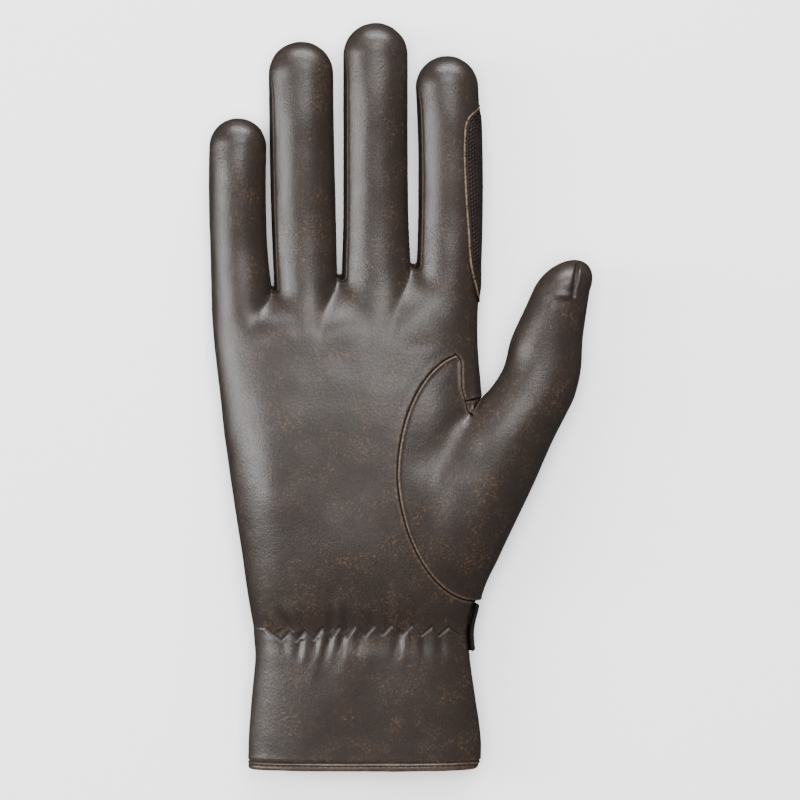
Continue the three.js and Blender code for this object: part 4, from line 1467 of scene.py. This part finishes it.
@dataclass
class PalmPanel(Sheet):
    """Front sheet: palm, fronts of the fingers and front of the cuff, open for the thumb."""

    name: str = "palm_leather"
    nodes: tuple[str, ...] = ("palm_panel",)
    side: Side = Side.PALM
    thumb_rows: int = 100
    puff: float = 0.28
    sink: float = 0.06
    line_width: float = 0.36
    groove: float = 0.5
    puff_reach: float = 3.0
    sink_reach: float = 1.6
    side_blend: float = 2.4
    up_blend: float = 0.35
    gather_share: float = 0.6
    gather_line: float = -86.0
    cuff_rows: int = 42
    gather_rows: int = 60
    fin_rows: int = 26
    pull_reach: float = 32.0

    def shape(self) -> Surface:
        """Rows up the cuff, beside the thumb, beside the fin and up the fingers."""
        self.columns()
        hand, k = self.hand, self.fin_column
        cuff = np.concatenate((
            np.linspace(hand.hem_top, self.gather_line, self.cuff_rows),
            np.linspace(self.gather_line, hand.thumb_root, self.gather_rows)[1:],
        ))
        shares = self.trunk_shares(cuff)
        foot = np.array([hand.thumb_root])
        cut = hand.trunk(foot)
        goal = (hand.palm_seam(foot) - cut.left) / cut.width
        pull = smooth((cuff - hand.thumb_root + self.pull_reach) / self.pull_reach)
        lower = self.trunk_points(cuff, self.moved(shares, mix(shares[:, k], goal, pull)))
        end = np.arccos(-(hand.knuckle_line - hand.seam_middle) / hand.seam_lift)
        rows = hand.seam_middle - hand.seam_lift * np.cos(np.linspace(0, end, self.thumb_rows))
        rows[-1] = hand.knuckle_line
        cut = hand.trunk(rows)
        seam = np.minimum(hand.palm_seam(rows), np.where(rows > 0, hand.fin_edge(rows), FAR))
        seam[-1] = hand.fin_edge(rows[-1])
        shares = self.moved(self.trunk_shares(rows), (seam - cut.left) / cut.width)
        beside = self.trunk_points(rows, shares)[:, : k + 1]
        upper = (self.fin_strip(), self.knuckle_grid(), *self.finger_grids())
        return Surface.from_grids(lower, beside, *upper)

    def moved(self, shares: Array, goal: Array) -> Array:
        """Shares stretched so that the column of the fin lies at a goal in each row."""
        k = self.fin_column
        here, last = shares[:, k : k + 1], shares[:, -1:]
        goal = np.asarray(goal).reshape(-1, 1)
        left = np.where(shares > 0, shares * goal / here, shares)
        right = mix(goal, last, (shares - here) / (last - here))
        return np.where(np.arange(shares.shape[1]) <= k, left, right)

    def fin_strip(self) -> Array:
        """Grid between the fin and the side of the hand, above the quirk's straight edge."""
        hand, k = self.hand, self.fin_column
        foot = hand.thumb_row(FIN_FOOT_ROW)
        top = np.array([hand.knuckle_line])
        end = hand.crotch_curve(np.ones(1), True)[0]
        base = self.trunk_shares(top)[0, k:]
        across = (base - base[0]) / (base[-1] - base[0])
        rise = bunched(self.fin_rows, 0.5)[:, None]
        y = mix(mix(foot, end[1], across), hand.knuckle_line, rise)
        cut = hand.trunk(y)
        goal = (hand.fin_edge(y[:, 0]) - cut.left[:, 0]) / cut.width[:, 0]
        shares = mix(goal[:, None], base[-1], across)
        return self.trunk_points(y, shares)

    def zigzag(self, surface: Surface) -> tuple[Array, Array]:
        """Distances from the zigzag seen from above, and 1 below it, 0 above it."""
        distance = surface.beside(ZIGZAG.rows)
        line = np.interp(surface.points[:, 0], *ZIGZAG.rows.T)
        signed = np.where(surface.points[:, 1] < line, distance, -distance)
        return distance, smooth(0.5 + signed / self.side_blend)

    def folds(self, surface: Surface) -> Array:
        """Gathers, swells, and the step and the groove at the zigzag.

        Below the zigzag the leather puffs out between the stitches, and above it it sinks.
        The line itself is a narrow groove, and the folds of each side stop at it.

        Args:
            surface: Plain sheet.

        Returns:
            Offsets along the surface's normals.
        """
        distance, below = self.zigzag(surface)
        down = FOLDS.column("y1") < FOLDS.column("y0")
        gathers = below * fold_lift(surface.points, FOLDS.rows[down])
        gathers += (1 - below) * fold_lift(surface.points, FOLDS.rows[~down])
        gathers *= self.gather_share
        step = self.puff * below * np.exp(-distance / self.puff_reach)
        step -= self.sink * (1 - below) * np.exp(-distance / self.sink_reach)
        step -= self.groove * bell(distance, self.line_width)
        swells = swell_lift(surface.points, SWELLS)
        return surface.facing_up(self.up_blend) * (gathers + step + swells)

    def lines(self, surface: Surface) -> Array:
        """Returns the painted shade in the zigzag's groove."""
        distance, _ = self.zigzag(surface)
        return surface.facing_up(self.up_blend) * bell(distance, self.line_width)


@dataclass
class BackPanel(Sheet):
    """Back sheet, flat where the glove rests."""

    name: str = "back_leather"
    nodes: tuple[str, ...] = ("back_panel",)
    side: Side = Side.BACK
    finger_cells: int = 30
    finger_rows: int = 60
    knuckle_rows: int = 24
    cuff_rows: int = 60
    crotch_rows: int = 16
    edge_share: float = 0.9999

    def shape(self) -> Surface:
        """Rows up the cuff, beside the thumb's seam and crotch, and up the fingers."""
        self.columns()
        hand = self.hand
        turn = np.sin(np.linspace(0, np.pi / 2, self.crotch_rows))
        crotch = hand.crotch_curve(turn, False)
        low, high = crotch[0, 1], crotch[-1, 1]
        y = np.concatenate((
            np.linspace(hand.hem_top, hand.thumb_root, self.cuff_rows),
            np.linspace(hand.thumb_root, low, self.cuff_rows)[1:],
            crotch[1:, 1],
            np.linspace(high, hand.knuckle_line, self.crotch_rows)[1:],
        ))
        shares = self.trunk_shares(y)
        cut = hand.trunk(y)
        edge = np.where(y < low, hand.back_seam(y), np.interp(y, crotch[:, 1], crotch[:, 0]))
        goal = ((edge - cut.left) / cut.width)[:, None]
        beside = ((y > hand.thumb_root) & (y < high))[:, None]
        limit = np.where(beside, np.minimum(goal, self.edge_share), shares[:, -1:])
        start = shares[:, :1]
        moved = mix(start, limit, (shares - start) / (shares[:, -1:] - start))
        trunk = self.trunk_points(y, moved)
        return Surface.from_grids(trunk, self.knuckle_grid(), *self.finger_grids(), flip=True)


@dataclass
class Fourchette(Piece):
    """Side strip that runs down one finger, round the crotch and up the next."""

    slot: Slot = Slot.SIDE
    # Darker side leather: painted shade between the fingers
    finish: LeatherFinish = SHADED_SIDE_LEATHER
    edge: SeamEdge = SeamEdge(depth=0.4, width=0.5, swell=0.0, pucker=0.02)
    index: int = 0
    cells: int = 16
    rows: int = 96
    bend_rows: int = 22
    relief: float = 0.1

    def shape(self) -> Surface:
        """Strip between the front and back seams, whose angles taper to nothing at its ends."""
        last = SHAFT_ROWS + CAP_ROWS / 2
        rows = last * bunched(self.rows, 0.5)[::-1]
        place = bunched(self.cells, 0.5, 0.5)[:, None]
        down = self.side_points(self.index, 1, rows, place)
        up = self.side_points(self.index + 1, -1, rows[::-1], place)
        turn = np.linspace(0, 1, self.bend_rows + 1)[None, 1:-1, None]
        turn = np.broadcast_to(turn, (len(place), turn.size, 1))
        bend = around_crotch(down[:, -1:], up[:, :1], turn)
        return Surface.from_grids(np.concatenate((down, bend, up), axis=1))

    def side_points(self, finger: int, end: int, rows: Array, place: Array) -> Array:
        """Places on one side of a finger, from its front seam to its back seam.

        Args:
            finger: Number of the finger.
            end: 1 for its thumb side, -1 for its little-finger side.
            rows: Rows of the finger.
            place: Shares of the way from front to back.

        Returns:
            Grid of places.
        """
        front = self.hand.seam_angle(finger, end, Side.PALM, rows)
        back = self.hand.seam_angle(finger, end, Side.BACK, rows)
        angle = mix(front, back, place)
        return self.hand.finger_point(finger, angle if end > 0 else np.pi - angle, rows)


@dataclass
class ThumbPanel(Piece):
    """Set-in thumb with its ball, its pointed fin and a short seam over the tip."""

    name: str = "thumb_leather"
    nodes: tuple[str, ...] = ("thumb_panel",)
    # Its rolled edge is lighter: wear, and a painted highlight
    edge: SeamEdge = SeamEdge(depth=0.7, width=0.6, swell=0.25, swell_reach=0.6, wear_and_highlight=0.5)
    fin_cells: int = 34
    ball_cells: int = 44
    crotch_cells: int = 28
    ball_rows: int = 84
    tube_rows: int = 84
    tip_rows: int = 20
    fin_rows: int = 76
    tip_lean: float = 0.45
    slit: tuple[tuple[float, float], tuple[float, float]] = ((59.7, 46.0), (57.8, 32.9))
    slit_depth: float = 1.2
    slit_width: float = 0.55
    slit_line: float = 0.32
    up_blend: float = 0.3

    def shape(self) -> Surface:
        """Ball, fin and tube, which meet at the row where the crotch begins."""
        return Surface.from_grids(self.ball(), self.fin(), self.tube())

    def ring_spread(self) -> Array:
        """Shares from the inner edge to the outer one, spaced as the thumb's ring is."""
        angle = RING_START * (1 - np.arange(self.ball_cells + 1) / self.ball_cells)
        cosine = signed_power(np.cos(angle), 2 / THUMB_POWER)
        return (cosine - cosine[0]) / (1 - cosine[0])

    def ball(self) -> Array:
        """Grid from the palm seam over the outer edge to the seam on the back."""
        hand = self.hand
        end = np.arccos(-(hand.thumb_row(QUIRK_ROW) - hand.seam_middle) / hand.seam_lift)
        y = hand.seam_middle - hand.seam_lift * np.cos(np.linspace(0, end, self.ball_rows + 1))
        y[-1] = hand.thumb_row(QUIRK_ROW)
        y = y[:, None]
        inner, outer, back = hand.palm_seam(y), hand.thumb(y).right, hand.back_seam(y)
        end_seam = hand.palm_seam(y[-1])
        share = (hand.quirk_x - end_seam) / (outer[-1] - end_seam)
        middle = mix(inner, outer, share)
        spread = self.ring_spread()
        first = hand.on_hand(mix(inner, middle, self.fin_shares()[:-1]), y, Side.PALM)
        front = hand.on_hand(mix(middle, outer, spread), y, Side.PALM)
        rear = hand.on_hand(mix(back, outer, spread[::-1][1:]), y, Side.BACK)
        front[:, -1, 2] = hand.thumb(y[:, 0]).middle
        return np.concatenate((first, front, rear), axis=1)

    def fin_shares(self) -> Array:
        """Shares across the fin, closer at its seams."""
        return bunched(self.fin_cells, 0.7, 0.6)

    def fin(self) -> Array:
        """Grid between the palm seam and the fin's right edge, up to the pointed tip."""
        hand = self.hand
        rise = bunched(self.fin_rows, 0.85, 0.85)
        y = mix(hand.thumb_row(QUIRK_ROW), hand.knuckle_line, rise)[:, None]
        right = hand.fin_edge(y)
        left = np.minimum(hand.palm_seam(y), right)
        left[-1] = right[-1]
        return hand.on_hand(mix(left, right, self.fin_shares()), y, Side.PALM)

    def tube(self) -> Array:
        """Rings from the curved crotch to the tip.

        The tube takes its own section over its first third, and its end shrinks along a
        quarter circle towards a tip that leans to the outer side.
        """
        hand = self.hand
        round_ball = 2 * self.ball_cells
        i = np.arange(round_ball + self.crotch_cells + 1)
        in_crotch = np.maximum(i - round_ball, 0) / self.crotch_cells
        angle = np.where(
            i <= round_ball,
            RING_START * (1 - i / self.ball_cells),
            -RING_START - in_crotch * 2 * (np.pi - RING_START),
        )
        base = mix(QUIRK_ROW, CROTCH_ROW, quarter_rise(1 - np.abs(2 * in_crotch - 1)))
        shaft = np.concatenate((bunched(self.tube_rows, 0.7), np.ones(self.tip_rows)))[:, None]
        over = np.linspace(0, np.pi / 2, self.tip_rows + 1)[1:]
        turn = np.concatenate((np.zeros(self.tube_rows + 1), over))[:, None, None]
        along = mix(base, 1 - hand.thumb_tip_length / hand.thumb_length, shaft)
        ring = hand.thumb_ring(along, np.broadcast_to(angle, along.shape))
        front = hand.height(ring[..., 0], ring[..., 1], Side.PALM)
        rear = hand.height(ring[..., 0], ring[..., 1], Side.BACK)
        fade = 1 - smooth(shaft * 3)
        joined = np.where(np.sin(angle) >= -1e-9, front, rear)
        joined[:, self.ball_cells] = hand.thumb(ring[:, self.ball_cells, 1]).middle
        ring[..., 2] = mix(ring[..., 2], joined, fade)
        cut = hand.thumb(ring[..., 1])
        level = np.stack((cut.centre, ring[..., 1], cut.middle), -1)
        length = np.full_like(cut.middle, hand.thumb_tip_length)
        tip = level + np.stack((cut.width / 2 * self.tip_lean, length, 0 * length), -1)
        axis = mix(level, tip, np.sin(turn))
        ring = axis + (ring - level) * np.cos(turn)
        ring[:, -1] = ring[:, 0]
        return ring

    def from_slit(self, surface: Surface) -> Array:
        """Returns the distance from the slit seen from above, far where the leather faces down."""
        up = surface.normals()[:, 2] > 0
        return np.where(up, surface.beside(np.array(self.slit)), FAR)

    def lines(self, surface: Surface) -> Array:
        """Returns the painted shade in the slit."""
        return bell(self.from_slit(surface), self.slit_line)

    def folds(self, surface: Surface) -> Array:
        """Slit at the tip, the crease beside it, and the soft swells of the ball."""
        lift = -self.slit_depth * bell(self.from_slit(surface), self.slit_width)
        lift = lift + fold_lift(surface.points, THUMB_FOLDS.rows)
        lift = lift + swell_lift(surface.points, THUMB_SWELLS)
        return surface.facing_up(self.up_blend) * lift


@dataclass
class ThumbQuirk(Piece):
    """Small gusset in the crotch of the thumb."""

    name: str = "quirk_leather"
    nodes: tuple[str, ...] = ("thumb_quirk",)
    slot: Slot = Slot.SIDE
    # Darker side leather: painted shade in the thumb's crotch
    finish: LeatherFinish = SHADED_SIDE_LEATHER
    edge: SeamEdge = SeamEdge(depth=0.7, width=0.9, swell=0.0, pucker=0.03)
    relief: float = 0.0
    side_cells: int = 21
    rows: int = 16

    def shape(self) -> Surface:
        """Grid between the curve of fin and crotch and the straight edge of the palm."""
        hand = self.hand
        fall = np.sin(np.linspace(0, np.pi / 2, self.side_cells + 1)[:-1])
        y = mix(hand.thumb_row(FIN_FOOT_ROW), hand.thumb_row(QUIRK_ROW), fall)
        fin = hand.on_hand(hand.fin_edge(y), y, Side.PALM)
        crotch = hand.crotch_curve(np.linspace(0, 1, self.side_cells + 1), True)
        lower = np.concatenate((fin, crotch))
        share = np.linspace(0, 1, len(lower))
        x = mix(lower[0, 0], lower[-1, 0], share)
        y = mix(lower[0, 1], lower[-1, 1], share)
        upper = hand.on_hand(x, y, Side.PALM)
        upper[0], upper[-1] = lower[0], lower[-1]
        rise = bunched(self.rows, 0.4, 0.4)[:, None, None]
        return Surface.from_grids(mix(lower, upper, rise))


@dataclass
class IndexPatch(Piece):
    """Perforated leaf of leather on the thumb side of the index finger."""

    name: str = "index_patch_leather"
    nodes: tuple[str, ...] = ("index_patch",)
    slot: Slot = Slot.PATCH
    finish: LeatherFinish = PATCH_LEATHER
    foot_share: float = 0.66
    length_share: float = 0.6
    wall: float = 0.75
    rows: int = 330
    cells: int = 120
    hole_pitch: float = 1.3
    hole_radius: float = 0.34
    hole_depth: float = 0.4
    hole_rows: int = 3
    row_start: float = 2.1
    row_step: float = 0.87
    edge_width: float = 0.4
    edge_sink: float = 0.2
    end_share: float = 0.09
    end_wall: float = 0.3
    lip_height: float = 0.16
    lip_place: float = 0.45
    groove_place: float = 1.15
    line_width: float = 0.3
    # Width of the painted shade along the edge
    shade_width: float = 0.2

    @property
    def foot(self) -> float:
        """Lower end of the patch."""
        return self.hand.knuckle_line + self.hand.knuckle_length * self.foot_share

    @property
    def length(self) -> float:
        """Length of the patch."""
        return self.hand.finger_reach * self.length_share

    def on_index(self, angle: Array, y: Array) -> Array:
        """Places on the index finger at an angle and a row, also below its crotch."""
        hand = self.hand
        base = hand.finger_point(Finger.INDEX, angle, np.zeros(1))
        end = hand.finger_point(Finger.INDEX, angle, np.full(1, float(SHAFT_ROWS)))
        row = (y - base[..., 1]) / (end[..., 1] - base[..., 1]) * SHAFT_ROWS
        above = hand.finger_point(Finger.INDEX, angle, np.maximum(row, 0))
        line = np.array([hand.knuckle_line])
        cut = hand.trunk(line)
        first, right = hand.finger_left[0], hand.finger_right[Finger.INDEX]
        left = hand.finger_left[Finger.INDEX] + WEB_SPREAD
        across = mix(left, right, (1 + np.cos(angle)) / 2)
        x = cut.left + cut.width * ((across - first) / (right - first))
        palm, back = (hand.height(x, np.full_like(x, line[0]), side) for side in Side)
        low = np.where(np.sin(angle) >= 0, palm, back)
        turn = smooth((y - line[0]) / (base[..., 1] - line[0]))
        below = np.stack((mix(x, base[..., 0], turn), y, mix(low, base[..., 2], turn)), -1)
        return np.where((row < 0)[..., None], below, above)

    def shape(self) -> Surface:
        """Leaf laid on the finger, with its edge angles from the table."""
        along = ((1 - np.cos(np.pi * np.linspace(0, 1, self.rows + 1))) / 2)[:, None]
        along = mix(along, np.linspace(0, 1, self.rows + 1)[:, None], 0.5)
        front = np.radians(PATCH.read("front", along))
        back = np.radians(PATCH.read("back", along))
        angle = mix(front, back, bunched(self.cells, 0.5, 0.2))
        y = np.broadcast_to(self.foot + along * self.length, angle.shape)
        return Surface.from_grids(self.on_index(angle, y))

    def dress(self, surface: Surface) -> tuple[Surface, dict[str, Array]]:
        """Raises the leaf, rounds its edge and sinks its groove and holes.

        The edge climbs along a quarter circle to the wall's height, lower at the leaf's ends,
        with a lip and a groove inside it. The holes are bell-shaped pits in staggered rows,
        counted from the nearest edge.

        Args:
            surface: Leaf on the finger.

        Returns:
            The dressed surface, and its attributes.
        """
        distance, _ = surface.inset()
        along = (surface.points[:, 1] - self.foot) / self.length
        ends = smooth(np.minimum(along, 1 - along) / self.end_share)
        lift = self.wall * mix(self.end_wall, 1.0, ends) * rolled(distance, self.edge_width)
        lift -= self.edge_sink * np.maximum(1 - distance / self.edge_width, 0)
        lip = bell(distance - self.lip_place, self.line_width)
        groove = bell(distance - self.groove_place, self.line_width)
        lift += self.lip_height * (lip - groove)
        depth = (distance - self.row_start) / (self.hole_pitch * self.row_step)
        line = np.round(depth)
        place = surface.points[:, 1] / self.hole_pitch + 0.5 * np.mod(line, 2)
        across = (depth - line) * self.hole_pitch * self.row_step
        beside = (place - np.round(place)) * self.hole_pitch
        pit = np.exp(-((across**2 + beside**2) / self.hole_radius**2) ** 1.5)
        pit = np.where((line >= 0) & (line < self.hole_rows), pit, 0)
        # Painted shade along the edge and in the holes; the lip lighter, which is wear and a
        # painted highlight
        values = {"seam": np.maximum(bell(distance, self.shade_width), pit), "wear_and_highlight": lip}
        return surface.lifted(lift - self.hole_depth * pit), values


@dataclass
class CuffHem(Piece):
    """Folded band round the opening, with its facing inside."""

    name: str = "hem_leather"
    nodes: tuple[str, ...] = ("cuff_hem",)
    slot: Slot = Slot.TRIM
    finish: LeatherFinish = TRIM_LEATHER
    around: int = 420
    rows: int = 46
    line_height: float = 0.5
    groove: float = 1.75
    top: float = 2.6
    groove_width: float = 0.2
    upper_lip: float = 2.15
    upper_width: float = 0.22
    lower_lip: float = 0.4
    lower_width: float = 0.5
    wave_size: float = 6.5
    wave_fine: float = 2.2
    wear_and_highlight_size: float = 3.5

    def perimeter(self, y: Array) -> Array:
        """Closed line round the cuff at each row, palm side first, spaced along a cosine."""
        half = (1 - np.cos(np.pi * np.linspace(0, 1, self.around // 2 + 1))) / 2
        cut = self.hand.trunk(y[:, None])
        x = cut.left + cut.width * half
        palm = self.hand.on_hand(x, y[:, None], Side.PALM)
        back = self.hand.on_hand(x[:, ::-1], y[:, None], Side.BACK)
        return np.concatenate((palm[:, :-1], back), axis=1)

    def shape(self) -> Surface:
        """Band whose section goes down outside, round the fold and up inside."""
        hand = self.hand
        turn = np.linspace(0, 1, self.rows)
        up, out = HEM_BAND.read("up", turn), HEM_BAND.read("out", turn)
        line = self.perimeter(np.full(1, hand.hem_line + self.line_height))[0]
        run = np.roll(line[:-1], -1, axis=0) - np.roll(line[:-1], 1, axis=0)
        away = unit(np.stack((-run[:, 2], 0 * run[:, 0], run[:, 0]), -1))
        away = np.concatenate((away, away[:1]))
        rows = self.perimeter(hand.hem_line + np.maximum(up, 0))
        rows[..., 1] = (hand.hem_line + up)[:, None]
        rows = rows + away * out[:, None, None]
        return Surface.from_grids(rows[::-1])

    def dress(self, surface: Surface) -> tuple[Surface, dict[str, Array]]:
        """Gives the band small waves, paints shade into its grooves and lightens its two lips,
        which is wear and a painted highlight.
        """
        up = surface.points[:, 1] - self.hand.hem_line
        wave = 0.12 * lattice_noise(surface.points * (1, 0.4, 1), self.wave_size, 8)
        wave += 0.06 * lattice_noise(surface.points, self.wave_fine, 9)
        # Painted shade in the two grooves
        groove = bell(up - self.groove, self.groove_width) + bell(up - self.top, self.groove_width)
        # Lips lighter: wear, and a painted highlight where they catch the light
        lips = bell(up - self.upper_lip, self.upper_width)
        lips = lips + 0.7 * bell(up - self.lower_lip, self.lower_width)
        patchy = lattice_noise(surface.points * (1, 0.3, 1), self.wear_and_highlight_size, 11)
        patchy = 0.35 + 0.35 * patchy
        return surface.lifted(wave), {"seam": 0.2 * groove, "wear_and_highlight": lips * patchy}


@dataclass
class ClosureTab(Piece):
    """Strap under the back of the wrist, turned up round the thumb side."""

    name: str = "tab_leather"
    nodes: tuple[str, ...] = ("closure_tab",)
    slot: Slot = Slot.TRIM
    # Darker side leather: painted shade on the strap under the wrist
    finish: LeatherFinish = SHADED_SIDE_LEATHER
    width: float = 16.0
    wall: float = 1.1
    reach: float = 30.0
    wrap: float = 1.08
    stand: float = 1.0
    foot_share: float = 0.283
    corner: float = 0.96
    cells: int = 30
    turns: int = 60
    edge_width: float = 0.9
    edge_height: float = 0.15
    groove_place: float = 1.9
    groove_depth: float = 0.2
    groove_width: float = 0.4
    # Width of the painted shade along the strap's edge
    shade_width: float = 0.3

    def shape(self) -> Surface:
        """Outer face of the strap, wrapped round the wrist's section, with a rounded end."""
        hand = self.hand
        foot = hand.hem_line + hand.trunk_length * self.foot_share
        share = bunched(self.cells, 0.6, 0.6)[:, None]
        y = foot + share * self.width
        cut = hand.trunk(y)
        rounding = self.width / 2 * (1 - np.sqrt(1 - (2 * share - 1) ** 2 * self.corner))
        start = cut.right - self.reach + rounding
        turn = self.wrap * bunched(self.turns, 0.3, 0.3)[::-1]
        side = np.where(turn > 1, 1, -1)
        x = start + (cut.right - start) * np.sin(np.minimum(turn, 2 - turn) * np.pi / 2)
        fullness = arch(2 * (x - cut.left) / cut.width - 1, TRUNK_POWER)
        z = cut.middle + side * np.where(side > 0, cut.rise, cut.drop) * fullness
        z = np.maximum(cut.floor, z)
        x = x + self.stand * smooth(turn)
        return Surface.from_grids(np.stack(np.broadcast_arrays(x, y, z), -1))

    def dress(self, surface: Surface) -> tuple[Surface, dict[str, Array]]:
        """Raises the strap to its thickness, rolls its edge down and sinks a groove inside it.

        Args:
            surface: Strap on the wrist.

        Returns:
            The dressed surface, and its attributes.
        """
        distance, _ = surface.inset()
        lift = self.edge_height + self.wall * rolled(distance, self.edge_width)
        lift -= self.groove_depth * bell(distance - self.groove_place, self.groove_width)
        # Painted shade along the strap's sewn edge
        return surface.lifted(lift), {"seam": bell(distance, self.shade_width)}


@dataclass(frozen=True)
class Stitch:
    """Sizes of a stitch, in millimetres: from one to the next, length, radius and rise."""

    pitch: float = 1.9
    length: float = 1.15
    radius: float = 0.24
    rise: float = 0.08
    rings: int = 7
    sides: int = 6


def stitches(path: Array, normals: Array, stitch: Stitch) -> Surface:
    """Row of stitches along a path.

    Each stitch is a tube round a short arc: its radius follows half an ellipse and falls to
    nothing at both ends, which dip into the leather.

    Args:
        path: Places in order.
        normals: Outward directions at those places.
        stitch: Sizes of a stitch.

    Returns:
        All the stitches as one surface.
    """
    steps = np.linalg.norm(np.diff(path, axis=0), axis=1)
    reach = np.concatenate(([0.0], np.cumsum(steps)))
    starts = np.arange(stitch.pitch / 2, reach[-1] - stitch.length, stitch.pitch)
    share = np.linspace(0, 1, stitch.rings)
    at = starts[:, None] + share * stitch.length
    place = np.stack([np.interp(at, reach, path[:, k]) for k in range(3)], -1)
    out = unit(np.stack([np.interp(at, reach, normals[:, k]) for k in range(3)], -1))
    aside = np.cross(out, unit(np.gradient(place, axis=1)))
    dome = np.sin(np.pi * share)
    centre = place + out * (stitch.rise * (2 * dome - 1))[:, None]
    angle = np.linspace(0, 2 * np.pi, stitch.sides + 1)
    size = stitch.radius * np.sqrt(np.maximum(1 - (2 * share - 1) ** 2, 0))[:, None, None]
    ring = centre[:, :, None] + size * (
        np.cos(angle)[:, None] * aside[:, :, None] + np.sin(angle)[:, None] * out[:, :, None]
    )
    ring[:, :, -1] = ring[:, :, 0]
    return Surface.from_grids(*ring)


@dataclass
class Stitching(Piece):
    """Rows of visible thread."""

    slot: Slot = Slot.TRIM
    finish: ThreadFinish = ThreadFinish()
    rows: tuple[Surface, ...] = ()

    def shape(self) -> Surface:
        """All the rows together."""
        return Surface.joined(*self.rows)

    def dress(self, surface: Surface) -> tuple[Surface, dict[str, Array]]:
        """Thread needs no further shaping."""
        return surface, {}


# Places at each edge of the cuff that the row of stitches leaves out
HEM_ENDS = 6


def hem_thread(hem: CuffHem) -> Surface:
    """Row of stitches in the band's groove, on the palm side."""
    line = hem.perimeter(np.full(1, hem.hand.hem_line + hem.groove))[0]
    line = line[HEM_ENDS : hem.around // 2 - HEM_ENDS + 1]
    z, normal = hem.surface.height_at(line[:, 0], line[:, 1])
    return stitches(np.column_stack((line[:, :2], z)), normal, Stitch())


@dataclass(frozen=True)
class Studio:
    """Pale floor, soft lights and the camera above the palm."""

    floor_size: float = 8.0
    lens: float = 150.0
    view_width: float = 0.26667
    view_x: float = 0.00067
    view_y: float = -0.00133
    view_plane: float = 0.013
    air_light: float = 0.08

    def build(self) -> None:
        """Makes the floor, the lights and the camera."""
        grid = np.array((-0.5, 0.5)) * self.floor_size / MM
        x, y = np.meshgrid(grid, grid)
        floor = Surface.from_grids(np.stack((x, y, 0 * x), -1)).build("studio_floor")
        floor.data.materials.append(FloorFinish().material())
        floor.visible_glossy = False
        self.lamp("left_light", (-1.0, 0.1, 0.85), (0.32, 1.0), 15.0)
        self.lamp("low_left_light", (-1.2, 0.1, 0.35), (0.3, 1.0), 6.0)
        self.lamp("upper_light", (0.12, 0.66, 1.3), (0.5, 0.45), 10.0)
        self.lamp("far_light", (0.1, 1.25, 0.6), (1.0, 0.35), 23.0)
        self.lamp("floor_light", (0.0, 0.0, 2.6), (1.6, 1.6), 160.0).visible_glossy = False
        world = bpy.data.worlds.new("studio_air")
        world.use_nodes = True
        air = world.node_tree.nodes["Background"]
        air.inputs["Color"].default_value = (1, 1, 1, 1)
        air.inputs["Strength"].default_value = self.air_light
        bpy.context.scene.world = world
        data = bpy.data.cameras.new("camera")
        data.lens = self.lens
        camera = bpy.data.objects.new("camera", data)
        distance = self.view_width * self.lens / data.sensor_width
        camera.location = (self.view_x, self.view_y, self.view_plane + distance)
        data.clip_start, data.clip_end = 0.05, 50
        bpy.context.scene.collection.objects.link(camera)
        bpy.context.scene.camera = camera

    def lamp(self, name: str, place: tuple, size: tuple, power: float) -> bpy.types.Object:
        """Adds a soft light that faces the glove.

        Args:
            name: Its name.
            place: Where it hangs, in metres.
            size: Its two sides, in metres.
            power: Its power, in watts.

        Returns:
            The light.
        """
        data = bpy.data.lights.new(name, "AREA")
        data.shape, data.energy = "RECTANGLE", power
        data.size, data.size_y = size
        lamp = bpy.data.objects.new(name, data)
        lamp.location = place
        lamp.rotation_euler = (-Vector(place)).to_track_quat("-Z", "Y").to_euler()
        bpy.context.scene.collection.objects.link(lamp)
        return lamp


def main() -> None:
    """Builds every piece in order, then the studio."""
    logging.basicConfig(level=logging.INFO, format="%(name)s: %(message)s")
    hand = HandForm()
    materials: dict[str, bpy.types.Material] = {}
    hem = CuffHem(hand)
    strips = [
        Fourchette(hand, name=f"strip_{pair}", nodes=(f"fourchette_{pair}",), index=index)
        for index, pair in enumerate(("little_ring", "ring_middle", "middle_index"))
    ]
    leather = (PalmPanel(hand), BackPanel(hand), *strips, ThumbPanel(hand), ThumbQuirk(hand))
    for piece in (*leather, IndexPatch(hand), hem, ClosureTab(hand)):
        piece.build(materials)
    Stitching(hand, name="hem_thread", rows=(hem_thread(hem),)).build(materials)
    Studio().build()


if __name__ == "__main__":
    main()
